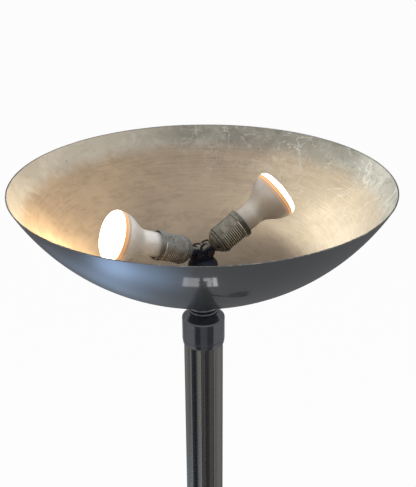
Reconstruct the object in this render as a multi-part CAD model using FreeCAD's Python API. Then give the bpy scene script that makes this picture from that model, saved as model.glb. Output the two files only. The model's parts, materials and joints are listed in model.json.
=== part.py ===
import FreeCAD, Part
import math
import os

# Torchiere floor lamp with a reading light, in millimetres
# Origin at the middle of the base, on the floor, +Z up, and -Y is the front
os.makedirs("parts", exist_ok=True)

V = FreeCAD.Vector
UP = V(0, 0, 1)

# Overall sizes
lamp_height = 1750.0
bowl_radius = 235.0
bowl_depth = 139.2
base_side = 280.0
base_height = 28.0

# Clearances
slip = 0.15             # radial, a hole round the centre tube
nest = 0.2              # radial, a plug in a tube or a ring
running = 0.05          # radial, a turning fit
side_gap = 0.3          # between faces that slide past each other

# Bowl and what clamps it
bowl_sheet = 1.5
rim_round = 0.6
seat_radius = 24.0
bowl_washer_radius = 21.0
bowl_washer_thickness = 2.0

# Centre tube with its nut and washer
tie_radius = 5.0
tie_bore = 3.8
tie_grip = 12.0         # how far the tube reaches into the carrier
tie_washer_radius = 15.0
tie_washer_thickness = 2.5
tie_nut_across = 17.0
tie_nut_height = 7.0

# Neck, from the bowl down to the collar
spindle_radius = 17.0
spindle_waist = 9.0
spindle_height = 27.3   # bowl to the top of the plate
plate_radius = 21.5
plate_thickness = 6.5
neck_ring_radius = 19.0
neck_ring_height = 7.5
collar_proud = 1.75     # beyond the column
collar_shoulder = 9.0
collar_height = 45.0
collar_taper = 7.0
collar_lip = 0.7
collar_cap = 14.0       # solid metal above the tube's end

# Column
column_radius = 26.25
column_wall = 3.45      # over the lands between the flutes
flute_count = 10
flute_depth = 2.0
flute_sweep = 21.0      # radius of the hollow of a flute
flute_phase = -4.5      # degrees, of the ridge nearest the front
joint_height = 14.0
joint_proud = 1.75      # beyond the column
joint_level = 560.0
spigot_reach = 18.0
flange_foot = 17.75     # beyond the column
flange_height = 20.0
flange_seat = 12.0      # base to the tube's end
shoulder_height = 12.0
shoulder_level = 1150.0
swivel_height = 38.0
swivel_proud = 3.25     # beyond the column
dimmer_height = 30.0
journal_wall = 4.0
journal_floor = 4.0

# Dimmer
dimmer_width = 18.0
dimmer_depth = 8.0
dimmer_clear = 2.5      # dimmer to the centre tube
bush_radius = 4.5
spindle_rod = 2.8
knob_radius = 11.0
knob_length = 14.0
knob_grips = 18
knob_gap = 0.8

# Base
cover_sheet = 1.5
cover_corner = 32.0
cover_edge = 7.0
cover_lift = 0.8
felt_thickness = 2.0
weight_gap = 3.5
weight_height = 18.0
weight_boss = 45.0
nut_pocket = 18.0
channel_width = 10.0
grommet_bore = 3.7
grommet_waist = 6.0
grommet_flange = 7.6
grommet_lip = 2.2
grommet_inner = 2.0
grommet_level = 9.5

# Knuckles of the two lampholders in the bowl
holder_line = 24.0      # degrees, plan angle of the right lampholder
right_rise = 32.0       # degrees above level
left_rise = 22.0
holder_level = 42.7     # bowl floor to the knuckle pins
holder_shift = -1.8     # middle of the two pins, along the right lampholder
lamp_lobe = 7.0

# Knuckles in general
lobe_radius = 10.0
tongue_apart = 1.74     # middle of the post to a tongue
cheek = 4.5
tongue_thickness = 7.4
tongue_inset = 0.7      # lobe's edge to the tongue's
tongue_width = 12.0
pin_radius = 3.0
pin_head_radius = 4.6
pin_head = 2.6
pin_nut_across = 8.0
pin_nut = 3.2
carrier_radius = 19.0
carrier_neck = 13.0
carrier_foot = 17.0
carrier_foot_height = 4.0

# Lampholder, along its axis from the knuckle pin
cap_clear = 0.8         # lobe to the cap
cap_length = 15.0
cap_tip = 8.0
cap_proud = 0.6         # beyond the barrel
cap_wall = 1.6
barrel_length = 27.2
barrel_wall = 1.2
mouth_proud = 1.2       # beyond the barrel
mouth_length = 7.8
mouth_gap = 1.8         # bulb's neck to the mouth ring
insulator_height = 9.5
shell_gap = 2.2         # screw shell to the barrel
shell_play = 0.4        # bulb's cap to the screw shell
shell_wall = 0.6
shell_length = 22.0
contact_radius = 4.0
contact_height = 3.5
lead_radius = 1.3
lead_clear = 6.0        # lobe to the middle of the wire
lead_offset = 2.2
lead_from = 25.0
lead_to = 92.0

# Reflector bulb
screw_radius = 13.2
screw_length = 24.5
neck_radius = 15.2
neck_length = 18.0
bulb_radius = 31.5
bulb_flare = 40.1
dome_height = 11.0
dome_side = 2.6

# Reading light
arm_side = 45.0         # degrees, plan angle of the arm
arm_rise = 3.0          # degrees above level
arm_length = 130.0
arm_radius = 6.0
boss_reach = 22.5       # swivel ring to the first knuckle pin
boss_radius = 10.0
head_neck = 13.0
head_cap_radius = 20.5
head_cap_height = 14.0
shade_cup = 21.5
shade_cup_length = 34.0
shade_radius = 50.0
shade_length = 98.0
shade_sheet = 1.2
small_holder_radius = 14.5
small_holder_length = 30.0
small_holder_bore = 12.0
small_screw = 6.9
small_screw_length = 20.0
small_neck = 8.5
globe_radius = 22.5
switch_radius = 8.0
switch_level = 16.0     # shade top to the switch's axis
switch_knob_radius = 6.5
switch_knob_length = 13.0
switch_rod = 2.2

# Sizes that follow from those above
column_bore = column_radius - column_wall
plug_radius = column_bore - nest
tube_socket = column_radius + nest
tube_hole = tie_radius + slip
collar_radius = column_radius + collar_proud
joint_radius = column_radius + joint_proud
swivel_radius = column_radius + swivel_proud
journal_bore = plug_radius - journal_wall
dimmer_back = tie_radius + dimmer_clear
slot_width = tongue_thickness + 2 * side_gap
tongue_radius = lobe_radius - tongue_inset
lamp_tongue = lamp_lobe - tongue_inset
pin_apart = lamp_tongue + tongue_apart
right_pin = holder_shift + pin_apart
left_pin = pin_apart - holder_shift
shell_radius = screw_radius + shell_play + shell_wall
barrel_radius = shell_radius + shell_gap + barrel_wall
cap_radius = barrel_radius + cap_proud
mouth_radius = barrel_radius + mouth_proud
mouth_bore = neck_radius + mouth_gap
cap_start = lamp_lobe + cap_clear
arm_root = swivel_radius + boss_reach

# Heights that follow, from the bowl's rim down
rim_level = lamp_height - rim_round
bowl_sphere = (bowl_radius ** 2 + bowl_depth ** 2) / (2 * bowl_depth)
sphere_level = rim_level - bowl_depth + bowl_sphere
seat_level = sphere_level - math.sqrt(bowl_sphere ** 2 - seat_radius ** 2)
bowl_floor = seat_level + bowl_sheet
carrier_level = bowl_floor + bowl_washer_thickness
pin_level = bowl_floor + holder_level
plate_top = seat_level - spindle_height
plate_bottom = plate_top - plate_thickness
collar_top = plate_bottom - neck_ring_height
collar_bottom = collar_top - collar_height
column_top = collar_top - collar_cap
column_foot = base_height + flange_seat
swivel_bottom = shoulder_level - swivel_height
dimmer_level = swivel_bottom - dimmer_height
arm_level = shoulder_level - swivel_height / 2


# Shape helpers
def outline(start, steps):
    """A closed wire in the XZ plane: (x, z) draws a line, (x, z, x, z) an arc through a point."""
    edges = []
    here = V(start[0], 0, start[1])
    for step in list(steps) + [start]:
        there = V(step[-2], 0, step[-1])
        if here.distanceToPoint(there) < 1e-6:
            continue
        if len(step) == 4:
            edges.append(Part.Arc(here, V(step[0], 0, step[1]), there).toShape())
        else:
            edges.append(Part.LineSegment(here, there).toShape())
        here = there
    return Part.Wire(edges)


def turned(start, *steps):
    return Part.Face(outline(start, steps)).revolve(V(0, 0, 0), UP, 360)


def rod(radius, low, high):
    return Part.makeCylinder(radius, high - low, V(0, 0, low))


def pipe(radius, bore, low, high):
    return rod(radius, low, high).cut(rod(bore, low - 1, high + 1))


def cross_rod(radius, low, high, x=0.0, z=0.0):
    return Part.makeCylinder(radius, high - low, V(x, low, z), V(0, 1, 0))


def block(x_low, x_high, y_low, y_high, z_low, z_high):
    return Part.makeBox(x_high - x_low, y_high - y_low, z_high - z_low, V(x_low, y_low, z_low))


def hexagon(across, low, high):
    corner = across / math.sqrt(3)
    ends = [V(corner * math.cos(math.radians(60 * k)), corner * math.sin(math.radians(60 * k)), low)
            for k in range(6)]
    return Part.Face(Part.makePolygon(ends + ends[:1])).extrude(V(0, 0, high - low))


def rounded_slab(side, corner, low, high, edge=0.0):
    slab = block(-side / 2, side / 2, -side / 2, side / 2, low, high)
    upright = [e for e in slab.Edges if abs(e.tangentAt(e.FirstParameter).z) > 0.9]
    slab = slab.makeFillet(corner, upright)
    if edge:
        top = [e for e in slab.Edges if e.BoundBox.ZMin > high - 0.01]
        slab = slab.makeFillet(edge, top)
    return slab


def aimed(shape, rise, plan, place):
    """Turn a shape that lies along +Z to a rise above level and a plan angle, then place it."""
    placed = shape.copy()
    placed.rotate(V(0, 0, 0), V(0, 1, 0), 90 - rise)
    placed.rotate(V(0, 0, 0), UP, plan)
    placed.translate(place)
    return placed


def along(rise, plan, reach):
    level = reach * math.cos(math.radians(rise))
    return V(level * math.cos(math.radians(plan)), level * math.sin(math.radians(plan)),
             reach * math.sin(math.radians(rise)))


def save(node, *solids):
    shape = solids[0] if len(solids) == 1 else Part.makeCompound(list(solids))
    if shape.ShapeType == "Compound" and len(shape.Solids) == 1:
        shape = shape.Solids[0]
    print(f"{node:24s} solids {len(shape.Solids)}  valid {shape.isValid()}  {shape.Volume / 1000:9.2f} cm3")
    shape.exportStep(f"parts/{node}.step")


# Base
def make_base():
    inner = base_side - 2 * cover_sheet
    cover = rounded_slab(base_side, cover_corner, cover_lift, base_height, cover_edge)
    hollow = rounded_slab(inner, cover_corner - cover_sheet, cover_lift - 5, base_height - cover_sheet,
                          cover_edge - cover_sheet)
    grommet_hole = cross_rod(grommet_waist + nest / 2, inner / 2 - 3, base_side / 2 + 3, 0, grommet_level)
    save("base_cover", cover.cut(hollow).cut(rod(tube_hole, 0, base_height + 1)).cut(grommet_hole))

    weight_side = inner - 2 * weight_gap
    weight_top = felt_thickness + weight_height
    weight = rounded_slab(weight_side, cover_corner - cover_sheet - weight_gap, felt_thickness, weight_top)
    weight = weight.fuse(rod(weight_boss, weight_top - 1, base_height - cover_sheet))
    pocket_depth = tie_washer_thickness + tie_nut_height + 3
    weight = weight.cut(rod(tube_hole, 0, base_height))
    weight = weight.cut(rod(nut_pocket, 0, felt_thickness + pocket_depth))
    weight = weight.cut(block(-channel_width / 2, channel_width / 2, 0, base_side / 2, 0,
                              felt_thickness + pocket_depth))
    save("base_weight", weight.removeSplitter())
    save("base_felt", rounded_slab(weight_side, cover_corner - cover_sheet - weight_gap, 0, felt_thickness))

    washer_top = felt_thickness + pocket_depth
    nut_top = washer_top - tie_washer_thickness
    save("tie_washer", pipe(tie_washer_radius, tube_hole, nut_top, washer_top))
    nut = hexagon(tie_nut_across, nut_top - tie_nut_height, nut_top)
    save("tie_nut", nut.cut(rod(tube_hole, 0, nut_top + 1)))

    wall_in = inner / 2
    wall_out = base_side / 2
    grommet = cross_rod(grommet_waist, wall_in, wall_out, 0, grommet_level)
    grommet = grommet.fuse(cross_rod(grommet_flange, wall_in - grommet_inner, wall_in, 0, grommet_level))
    lip = cross_rod(grommet_flange, wall_out, wall_out + grommet_lip, 0, grommet_level)
    front = [e for e in lip.Edges if e.BoundBox.YMin > wall_out + grommet_lip - 0.01]
    grommet = grommet.fuse(lip.makeFillet(grommet_lip * 0.45, front))
    grommet = grommet.cut(cross_rod(grommet_bore, 0, base_side, 0, grommet_level))
    save("cable_grommet", grommet.removeSplitter())
    return nut_top - tie_nut_height + 1


# Column
def fluted_tube(low, high):
    """Round tube with ten shallow hollows down its length."""
    reach = column_radius + flute_sweep - flute_depth
    tool = Part.makeCylinder(flute_sweep, high - low, V(0, 0, low))
    hollows = []
    for k in range(flute_count):
        angle = math.radians(-90 + flute_phase + (k + 0.5) * 360 / flute_count)
        hollow = tool.copy()
        hollow.translate(V(reach * math.cos(angle), reach * math.sin(angle), 0))
        hollows.append(hollow)
    return pipe(column_radius, column_bore, low, high).cut(hollows)


def beaded_ring(radius, bore, low, high):
    """Turned ring with a rounded face between two small steps."""
    step = 1.2
    return turned((bore, low), (radius - step, low), (radius - step, low + step),
                  (radius, (low + high) / 2, radius - step, high - step),
                  (radius - step, high), (bore, high))


def make_column():
    joint_top = joint_level + joint_height
    shoulder_top = shoulder_level + shoulder_height
    save("lower_column", fluted_tube(column_foot, joint_level))
    save("middle_column", fluted_tube(joint_top, dimmer_level))
    save("upper_column", fluted_tube(shoulder_top, column_top))
    save("joint_ring", beaded_ring(joint_radius, column_bore, joint_level, joint_top))

    rim = tube_socket + 1.6
    flange_radius = column_radius + flange_foot
    save("column_flange", turned(
        (tube_hole, base_height), (flange_radius, base_height), (flange_radius, base_height + 3),
        (rim + 4.5, base_height + 8, rim, base_height + flange_height - 2),
        (rim - 0.6, base_height + flange_height), (tube_socket, base_height + flange_height),
        (tube_socket, column_foot), (tube_hole, column_foot)))

    spans = [(column_foot, column_foot + spigot_reach),
             (joint_level - spigot_reach, joint_top + spigot_reach),
             (column_top - spigot_reach, column_top)]
    save("column_spigots", *[pipe(plug_radius, tube_hole, low, high) for low, high in spans])


def make_swivel_stack():
    """The journal that the reading light's ring turns on, with the rings above and below it."""
    shoulder_top = shoulder_level + shoulder_height
    low = dimmer_level - spigot_reach
    high = shoulder_top + spigot_reach
    middle = dimmer_level + dimmer_height / 2
    journal = pipe(plug_radius, tube_hole, low, high)
    journal = journal.cut(rod(journal_bore, low + journal_floor, high - journal_floor))
    bush_hole = cross_rod(bush_radius + nest / 2, -2 * column_radius, 0, 0, middle)
    save("swivel_journal", journal.cut(bush_hole))
    save("shoulder_ring", beaded_ring(joint_radius, column_bore, shoulder_level, shoulder_top))

    face = swivel_radius
    ring = turned((column_bore, dimmer_level), (face - 1.5, dimmer_level), (face, dimmer_level + 1.5),
                  (face, swivel_bottom - 1), (face - 1, swivel_bottom), (column_bore, swivel_bottom))
    save("dimmer_ring", ring.cut(bush_hole))

    half = dimmer_width / 2
    body = block(-half, half, -dimmer_back - dimmer_depth, -dimmer_back, middle - half, middle + half)
    bush = cross_rod(bush_radius, -swivel_radius, -dimmer_back - dimmer_depth, 0, middle)
    body = body.fuse(bush).cut(cross_rod(spindle_rod + running, -2 * swivel_radius, -dimmer_back - 2, 0, middle))
    save("dimmer_body", body.removeSplitter())

    save("dimmer_knob", knob(knob_radius, knob_length, spindle_rod, -swivel_radius - knob_gap,
                             -dimmer_back - 3, middle))


def knob(radius, length, rod_radius, back, rod_end, level):
    """Turned knob facing -Y with a rounded front, grip grooves and its spindle."""
    front = length - 2.5
    body = turned((0, 0), (radius - 1, 0), (radius, 1), (radius * 0.93, front),
                  (radius * 0.8, length - 0.7, radius * 0.55, length), (0, length))
    groove = rod(0.7, 2, length + 1)
    grooves = []
    for k in range(knob_grips):
        angle = 2 * math.pi * k / knob_grips
        cut = groove.copy()
        cut.translate(V((radius + 0.2) * math.cos(angle), (radius + 0.2) * math.sin(angle), 0))
        grooves.append(cut)
    body = body.cut(grooves)
    body.rotate(V(0, 0, 0), V(1, 0, 0), 90)
    body.translate(V(0, back, level))
    return body.fuse(cross_rod(rod_radius, back - 1, rod_end, 0, level))


# Neck and bowl
def make_neck():
    waist = (seat_level + plate_top) / 2
    save("neck_spindle", turned(
        (tube_hole, plate_top), (spindle_radius - 3, plate_top), (spindle_radius - 3, plate_top + 2),
        (spindle_waist, waist, spindle_radius, seat_level - 3),
        (spindle_radius, seat_level), (tube_hole, seat_level)))
    save("cup_plate", turned(
        (tube_hole, plate_bottom), (plate_radius - 1.6, plate_bottom), (plate_radius, plate_bottom + 1.8),
        (plate_radius, plate_bottom + 3), (plate_radius - 3.2, plate_top - 1.2, spindle_radius - 3, plate_top),
        (tube_hole, plate_top)))
    bulge = neck_ring_radius
    save("neck_ring", turned(
        (tube_hole, collar_top), (bulge - 1.5, collar_top),
        (bulge, collar_top + 2.2, bulge - 1.8, collar_top + 4.4), (bulge - 3.4, plate_bottom),
        (tube_hole, plate_bottom)))
    edge = collar_radius
    save("collar", turned(
        (tube_hole, collar_top), (edge - collar_shoulder, collar_top),
        (edge - collar_shoulder * 0.22, collar_top - collar_shoulder * 0.3, edge, collar_top - collar_shoulder),
        (edge, collar_bottom + collar_taper), (tube_socket + collar_lip, collar_bottom),
        (tube_socket, collar_bottom), (tube_socket, column_top), (tube_hole, column_top)))


def make_bowl():
    inner_sphere = bowl_sphere - bowl_sheet
    inner_rim = math.sqrt(inner_sphere ** 2 - (sphere_level - rim_level) ** 2)
    inner_seat = math.sqrt(inner_sphere ** 2 - (sphere_level - bowl_floor) ** 2)

    def on_sphere(radius, low, high):
        middle = (low + high) / 2
        return middle, sphere_level - math.sqrt(radius ** 2 - middle ** 2)

    save("bowl", turned(
        (tube_hole, seat_level), (seat_radius, seat_level),
        (*on_sphere(bowl_sphere, seat_radius, bowl_radius), bowl_radius, rim_level),
        ((bowl_radius + inner_rim) / 2, lamp_height, inner_rim, rim_level),
        (*on_sphere(inner_sphere, inner_seat, inner_rim), inner_seat, bowl_floor),
        (tube_hole, bowl_floor)))
    save("bowl_washer", pipe(bowl_washer_radius, tube_hole, bowl_floor, carrier_level))


# Knuckles: the hinge runs along Y, and the arm leaves the tongue along +Z
def tongue(radius, reach):
    half = tongue_thickness / 2
    shape = cross_rod(radius, -half, half).fuse(
        block(-tongue_width / 2, tongue_width / 2, -half, half, 0, reach))
    return shape


def pin_hole(clearance):
    return cross_rod(pin_radius + clearance, -50, 50)


def knuckle_pin():
    """Pin with a round head on one side and a nut on the other."""
    outer = slot_width / 2 + cheek
    head = cross_rod(pin_head_radius, -outer - pin_head, -outer)
    nut = hexagon(pin_nut_across, 0, pin_nut)
    nut.rotate(V(0, 0, 0), V(1, 0, 0), -90)
    nut.translate(V(0, outer, 0))
    stem = cross_rod(pin_radius, -outer - 1, outer + pin_nut + 1)
    return head.fuse([stem, nut]).removeSplitter()


def make_carrier():
    """Domed post on the bowl's floor whose two lobed cheeks hold both lampholders."""
    level = pin_level
    outer = slot_width / 2 + cheek
    waist = level - lamp_lobe - 8
    shoulder = carrier_level + carrier_foot_height + 6
    post = turned((tube_hole, carrier_level), (carrier_foot, carrier_level),
                  (carrier_foot, carrier_level + carrier_foot_height),
                  (carrier_radius - 0.6, shoulder - 2.6, carrier_radius, shoulder),
                  (carrier_radius, waist - 3),
                  (carrier_radius - 2.2, waist + 2, carrier_neck, waist + 5), (tube_hole, waist + 5))
    shift = holder_shift
    lean = pin_apart + lamp_lobe * 0.72
    web = outline((shift - carrier_neck + 1, waist),
                  [(shift + carrier_neck - 1, waist), (shift + lean, level - lamp_lobe * 0.7),
                   (shift + pin_apart, level), (shift - pin_apart, level), (shift - lean, level - lamp_lobe * 0.7)])
    head = Part.Face(web).extrude(V(0, 2 * outer, 0))
    head.translate(V(0, -outer, 0))
    for pin in (right_pin, -left_pin):
        head = head.fuse(cross_rod(lamp_lobe, -outer, outer, pin, level))
    floor = level - lamp_tongue - 1.2
    head = head.cut(block(-60, 60, -slot_width / 2, slot_width / 2, floor, level + 40))
    head = head.cut(block(shift - 1.2, shift + 1.2, -60, 60, level - 2, level + 40))
    for pin in (right_pin, -left_pin):
        head = head.cut(cross_rod(pin_radius + running, -60, 60, pin, level))
    carrier = post.fuse(head).cut(rod(tie_bore, carrier_level, floor + 1))
    carrier = carrier.cut(rod(tube_hole, carrier_level - 1, carrier_level + tie_grip))
    carrier.rotate(V(0, 0, 0), UP, holder_line)
    save("lamp_carrier", carrier.removeSplitter())


# Lampholders and bulbs in the bowl
def holder_pieces():
    cap_end = cap_start + cap_length
    barrel_end = cap_end + barrel_length
    mouth_end = barrel_end + mouth_length
    hollow = cap_radius - cap_wall
    floor = cap_end - 6
    cap = turned((0, cap_start), (cap_tip, cap_start),
                 (cap_tip + 6.2, cap_start + 3.6, cap_radius - 1.2, cap_start + cap_length * 0.66),
                 (cap_radius, cap_start + cap_length * 0.74), (cap_radius, cap_end),
                 (hollow, cap_end), (hollow, floor), (0, floor))
    cap = cap.fuse(tongue(lamp_tongue, cap_start + 1)).cut(pin_hole(running)).removeSplitter()

    barrel = pipe(barrel_radius, barrel_radius - barrel_wall, cap_end, barrel_end)
    mouth = turned((mouth_bore, barrel_end), (barrel_radius + 0.4, barrel_end), (mouth_radius, barrel_end + 1.2),
                   (mouth_radius, mouth_end - 2.2), (mouth_radius - 0.4, mouth_end - 0.4, mouth_radius - 1, mouth_end),
                   (mouth_bore, mouth_end))

    shell_start = floor + insulator_height
    insulator = turned((contact_radius / 2, floor), (hollow - nest, floor), (hollow - nest, cap_end - 0.5),
                       (barrel_radius - barrel_wall - nest, cap_end - 0.5),
                       (barrel_radius - barrel_wall - nest, shell_start), (contact_radius / 2, shell_start))
    shell = pipe(shell_radius, shell_radius - shell_wall, shell_start, shell_start + shell_length)
    contact_top = shell_start + contact_height
    contact = turned((0, floor + 2), (contact_radius / 2 - 0.1, floor + 2),
                     (contact_radius / 2 - 0.1, shell_start), (contact_radius, shell_start),
                     (contact_radius, contact_top - 1), (contact_radius - 1, contact_top), (0, contact_top))

    neck_start = contact_top + screw_length
    screw = turned((0, contact_top), (contact_radius, contact_top), (contact_radius + 0.5, contact_top + 1.5),
                   (screw_radius - 2.5, contact_top + 4.5), (screw_radius, contact_top + 6.5),
                   (screw_radius, neck_start), (0, neck_start))
    flare = neck_start + neck_length
    wide = flare + bulb_flare
    body = bulb_body(neck_start, flare, wide)
    crown = bulb_radius - 6.5
    rise = 2.2
    sweep = (crown ** 2 + rise ** 2) / (2 * rise)
    half_way = crown / 2, wide + dome_height - sweep + math.sqrt(sweep ** 2 - crown ** 2 / 4)
    dome = turned((0, wide), (bulb_radius, wide), (bulb_radius, wide + dome_side),
                  (bulb_radius - 1.9, wide + dome_side + 3.9, crown, wide + dome_height - rise),
                  (*half_way, 0, wide + dome_height))
    lead = lead_tail().cut(cap)
    return {"holder_cap": cap, "holder_barrel": barrel, "holder_ring": mouth, "insulator": insulator,
            "screw_shell": shell, "contact": contact, "bulb_cap": screw, "bulb_body": body,
            "bulb_diffuser": dome, "lead": lead}


def bulb_body(start, flare, wide):
    """Neck that swells in one S-shaped curve to the diffuser."""
    span = wide - flare
    curve = Part.BSplineCurve()
    ends = [V(neck_radius, 0, flare), V(neck_radius + 5.6, 0, flare + span * 0.38),
            V(bulb_radius - 3.6, 0, flare + span * 0.74), V(bulb_radius, 0, wide)]
    curve.interpolate(Points=ends, InitialTangent=V(0.02, 0, 1), FinalTangent=V(0.12, 0, 1))
    corners = [V(0, 0, start), V(neck_radius - 1.4, 0, start), V(neck_radius, 0, start + 2), ends[0]]
    edges = [Part.LineSegment(a, b).toShape() for a, b in zip(corners, corners[1:])]
    edges.append(curve.toShape())
    edges.append(Part.LineSegment(ends[-1], V(0, 0, wide)).toShape())
    edges.append(Part.LineSegment(V(0, 0, wide), corners[0]).toShape())
    return Part.Face(Part.Wire(edges)).revolve(V(0, 0, 0), UP, 360)


def lead_tail():
    """Short wire that leaves the cap and bends over the carrier, round the knuckle pin."""
    lead_sweep = lamp_lobe + lead_clear
    start = V(-lead_sweep * math.sin(math.radians(lead_from)), lead_offset,
              lead_sweep * math.cos(math.radians(lead_from)))
    heading = V(math.cos(math.radians(lead_from)), 0, math.sin(math.radians(lead_from)))
    section = Part.Face(Part.Wire(Part.makeCircle(lead_radius, start, heading)))
    return section.revolve(V(0, lead_offset, 0), V(0, 1, 0), -(lead_to - lead_from))


def make_holders():
    pieces = holder_pieces()
    pin = knuckle_pin()
    places = (("right", holder_line, right_rise, right_pin), ("left", holder_line + 180, left_rise, left_pin))
    for side, plan, rise, reach in places:
        pivot = V(0, 0, pin_level) + along(0, plan, reach)
        for name, shape in pieces.items():
            save(f"{side}_{name}", aimed(shape, rise, plan, pivot))
        save(f"{side}_tilt_pin", aimed(pin, rise, plan, pivot))
        print(side, "pin", [round(value, 3) for value in pivot])


# Reading light
def fork(reach):
    """Two cheeks round the pin that join into a stem towards -Z."""
    outer = slot_width / 2 + cheek
    half = boss_radius * 0.8
    shape = cross_rod(lobe_radius, -outer, outer).fuse(block(-half, half, -outer, outer, -reach, 0))
    floor = lobe_radius + 0.8
    return shape.cut(block(-50, 50, -slot_width / 2, slot_width / 2, -floor, 50))


def make_reading_arm():
    pivot = V(0, 0, arm_level) + along(0, arm_side, arm_root)
    ring_low = swivel_bottom + side_gap
    ring_high = shoulder_level - side_gap
    face = swivel_radius
    ring = turned((plug_radius + running, ring_low), (face - 1, ring_low), (face, ring_low + 1),
                  (face, ring_high - 1.5), (face - 1.5, ring_high), (plug_radius + running, ring_high))
    stem = rod(boss_radius, column_radius - arm_root, -lobe_radius - 4)
    boss = stem.fuse(fork(lobe_radius + 6)).cut(pin_hole(running))
    ring = ring.fuse(aimed(boss, 0, arm_side, pivot)).cut(rod(plug_radius + running, ring_low - 1, ring_high + 1))
    save("swivel_ring", ring.removeSplitter())
    save("arm_pin", aimed(knuckle_pin(), 0, arm_side, pivot))

    start = lobe_radius + 0.8
    end = arm_length - lobe_radius - 5
    arm = rod(arm_radius, start + 5, end + 1)
    ferrule = turned((0, start), (arm_radius + 0.6, start), (arm_radius + 2, start + 1.5),
                     (arm_radius + 2, start + 8), (arm_radius, start + 10), (0, start + 10))
    arm = arm.fuse([ferrule, tongue(tongue_radius, start + 1)]).cut(pin_hole(running))
    tip = fork(lobe_radius + 6)
    tip.translate(V(0, 0, arm_length))
    cuff = turned((0, end - 8), (arm_radius, end - 8), (arm_radius + 2.4, end - 5), (arm_radius + 2.4, end), (0, end))
    arm = arm.fuse([tip, cuff]).cut(cross_rod(pin_radius + running, -50, 50, 0, arm_length))
    save("reading_arm", aimed(arm.removeSplitter(), arm_rise, arm_side, pivot))
    return pivot + along(arm_rise, arm_side, arm_length)


def make_reading_head(pivot):
    """Head at rest points straight down; its pieces are drawn from the knuckle pin downwards."""
    def hung(shape):
        return aimed(shape, 90, arm_side, pivot)

    save("head_pin", hung(knuckle_pin()))
    cap_low = -head_neck - head_cap_height
    stalk = tongue(tongue_radius, head_neck + 1)
    stalk.rotate(V(0, 0, 0), V(0, 1, 0), 180)
    cap = turned((0, cap_low), (head_cap_radius, cap_low), (head_cap_radius, cap_low + 3),
                 (head_cap_radius - 8, cap_low + 7.4, tongue_width / 2 + 1.4, -head_neck), (0, -head_neck))
    save("head_knuckle", hung(cap.fuse(stalk).cut(pin_hole(running)).removeSplitter()))

    cup_low = cap_low - shade_cup_length
    shade_low = cap_low - shade_length
    inside = shade_cup - shade_sheet
    middle = (shade_cup + shade_radius) / 2
    bend = cup_low - (cup_low - shade_low) * 0.37
    shade = turned(
        (0, cap_low), (shade_cup - 2, cap_low), (shade_cup, cap_low - 2), (shade_cup, cup_low),
        (middle, bend, shade_radius, shade_low),
        (shade_radius - shade_sheet, shade_low), (middle - shade_sheet, bend + 0.3, inside, cup_low + 0.3),
        (inside, cap_low - 2.5), (inside - 1, cap_low - shade_sheet), (0, cap_low - shade_sheet))
    axis_level = cap_low - switch_level
    shade = shade.cut(cross_rod(switch_rod + 1.2, -shade_radius, 0, 0, axis_level))
    save("reading_shade", hung(shade))

    sleeve_top = cap_low - shade_sheet
    sleeve_low = sleeve_top - small_holder_length
    sleeve = pipe(small_holder_radius, small_holder_bore, sleeve_low, sleeve_top)
    wire_side = cross_rod(switch_rod + 1.2, -shade_radius, 0, 0, axis_level)
    save("reading_holder", hung(sleeve.cut(wire_side)))
    insert_bore = small_screw + nest
    insert_floor = sleeve_low + small_screw_length + 1
    insert = rod(small_holder_bore - nest, sleeve_low + 1, sleeve_top).cut(
        rod(insert_bore, sleeve_low, insert_floor))
    switch_room = block(-8, 8, -small_holder_bore, -insert_bore - 0.4, axis_level - 6, sleeve_top + 1)
    save("reading_insert", hung(insert.cut(switch_room)))

    screw_low = insert_floor - small_screw_length
    screw = turned((0, insert_floor), (small_screw - 3, insert_floor), (small_screw, insert_floor - 2.5),
                   (small_screw, screw_low), (0, screw_low))
    save("reading_bulb_cap", hung(screw))
    centre = screw_low - globe_radius - 6
    touch = math.sqrt(globe_radius ** 2 - (small_neck + 4) ** 2)
    globe = turned((0, screw_low), (small_neck, screw_low), (small_neck + 0.6, centre + touch + 2.6),
                   (small_neck + 4, centre + touch), (globe_radius, centre, 0, centre - globe_radius))
    save("reading_bulb", hung(globe))

    back = -shade_cup - 0.5
    half = 5.0
    body = block(-7, 7, -small_holder_bore, -insert_bore - 1.2, axis_level - half, axis_level + half)
    body = body.common(rod(small_holder_bore - nest, axis_level - half, axis_level + half))
    body = body.cut(cross_rod(switch_rod + running, -50, -insert_bore - 2.2, 0, axis_level))
    save("switch_body", hung(body))
    save("switch_knob", hung(knob(switch_knob_radius, switch_knob_length, switch_rod, back,
                                  -insert_bore - 2.6, axis_level)))


# Assembly
tube_low = make_base()
make_column()
make_swivel_stack()
make_neck()
make_bowl()
make_carrier()
save("tie_tube", pipe(tie_radius, tie_bore, tube_low, carrier_level + tie_grip))
make_holders()
head_pivot = make_reading_arm()
make_reading_head(head_pivot)
print("head pivot", [round(value, 2) for value in head_pivot])
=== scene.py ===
import json
import math
import bmesh
import bpy
import numpy as np
from mathutils import Matrix, Vector

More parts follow.
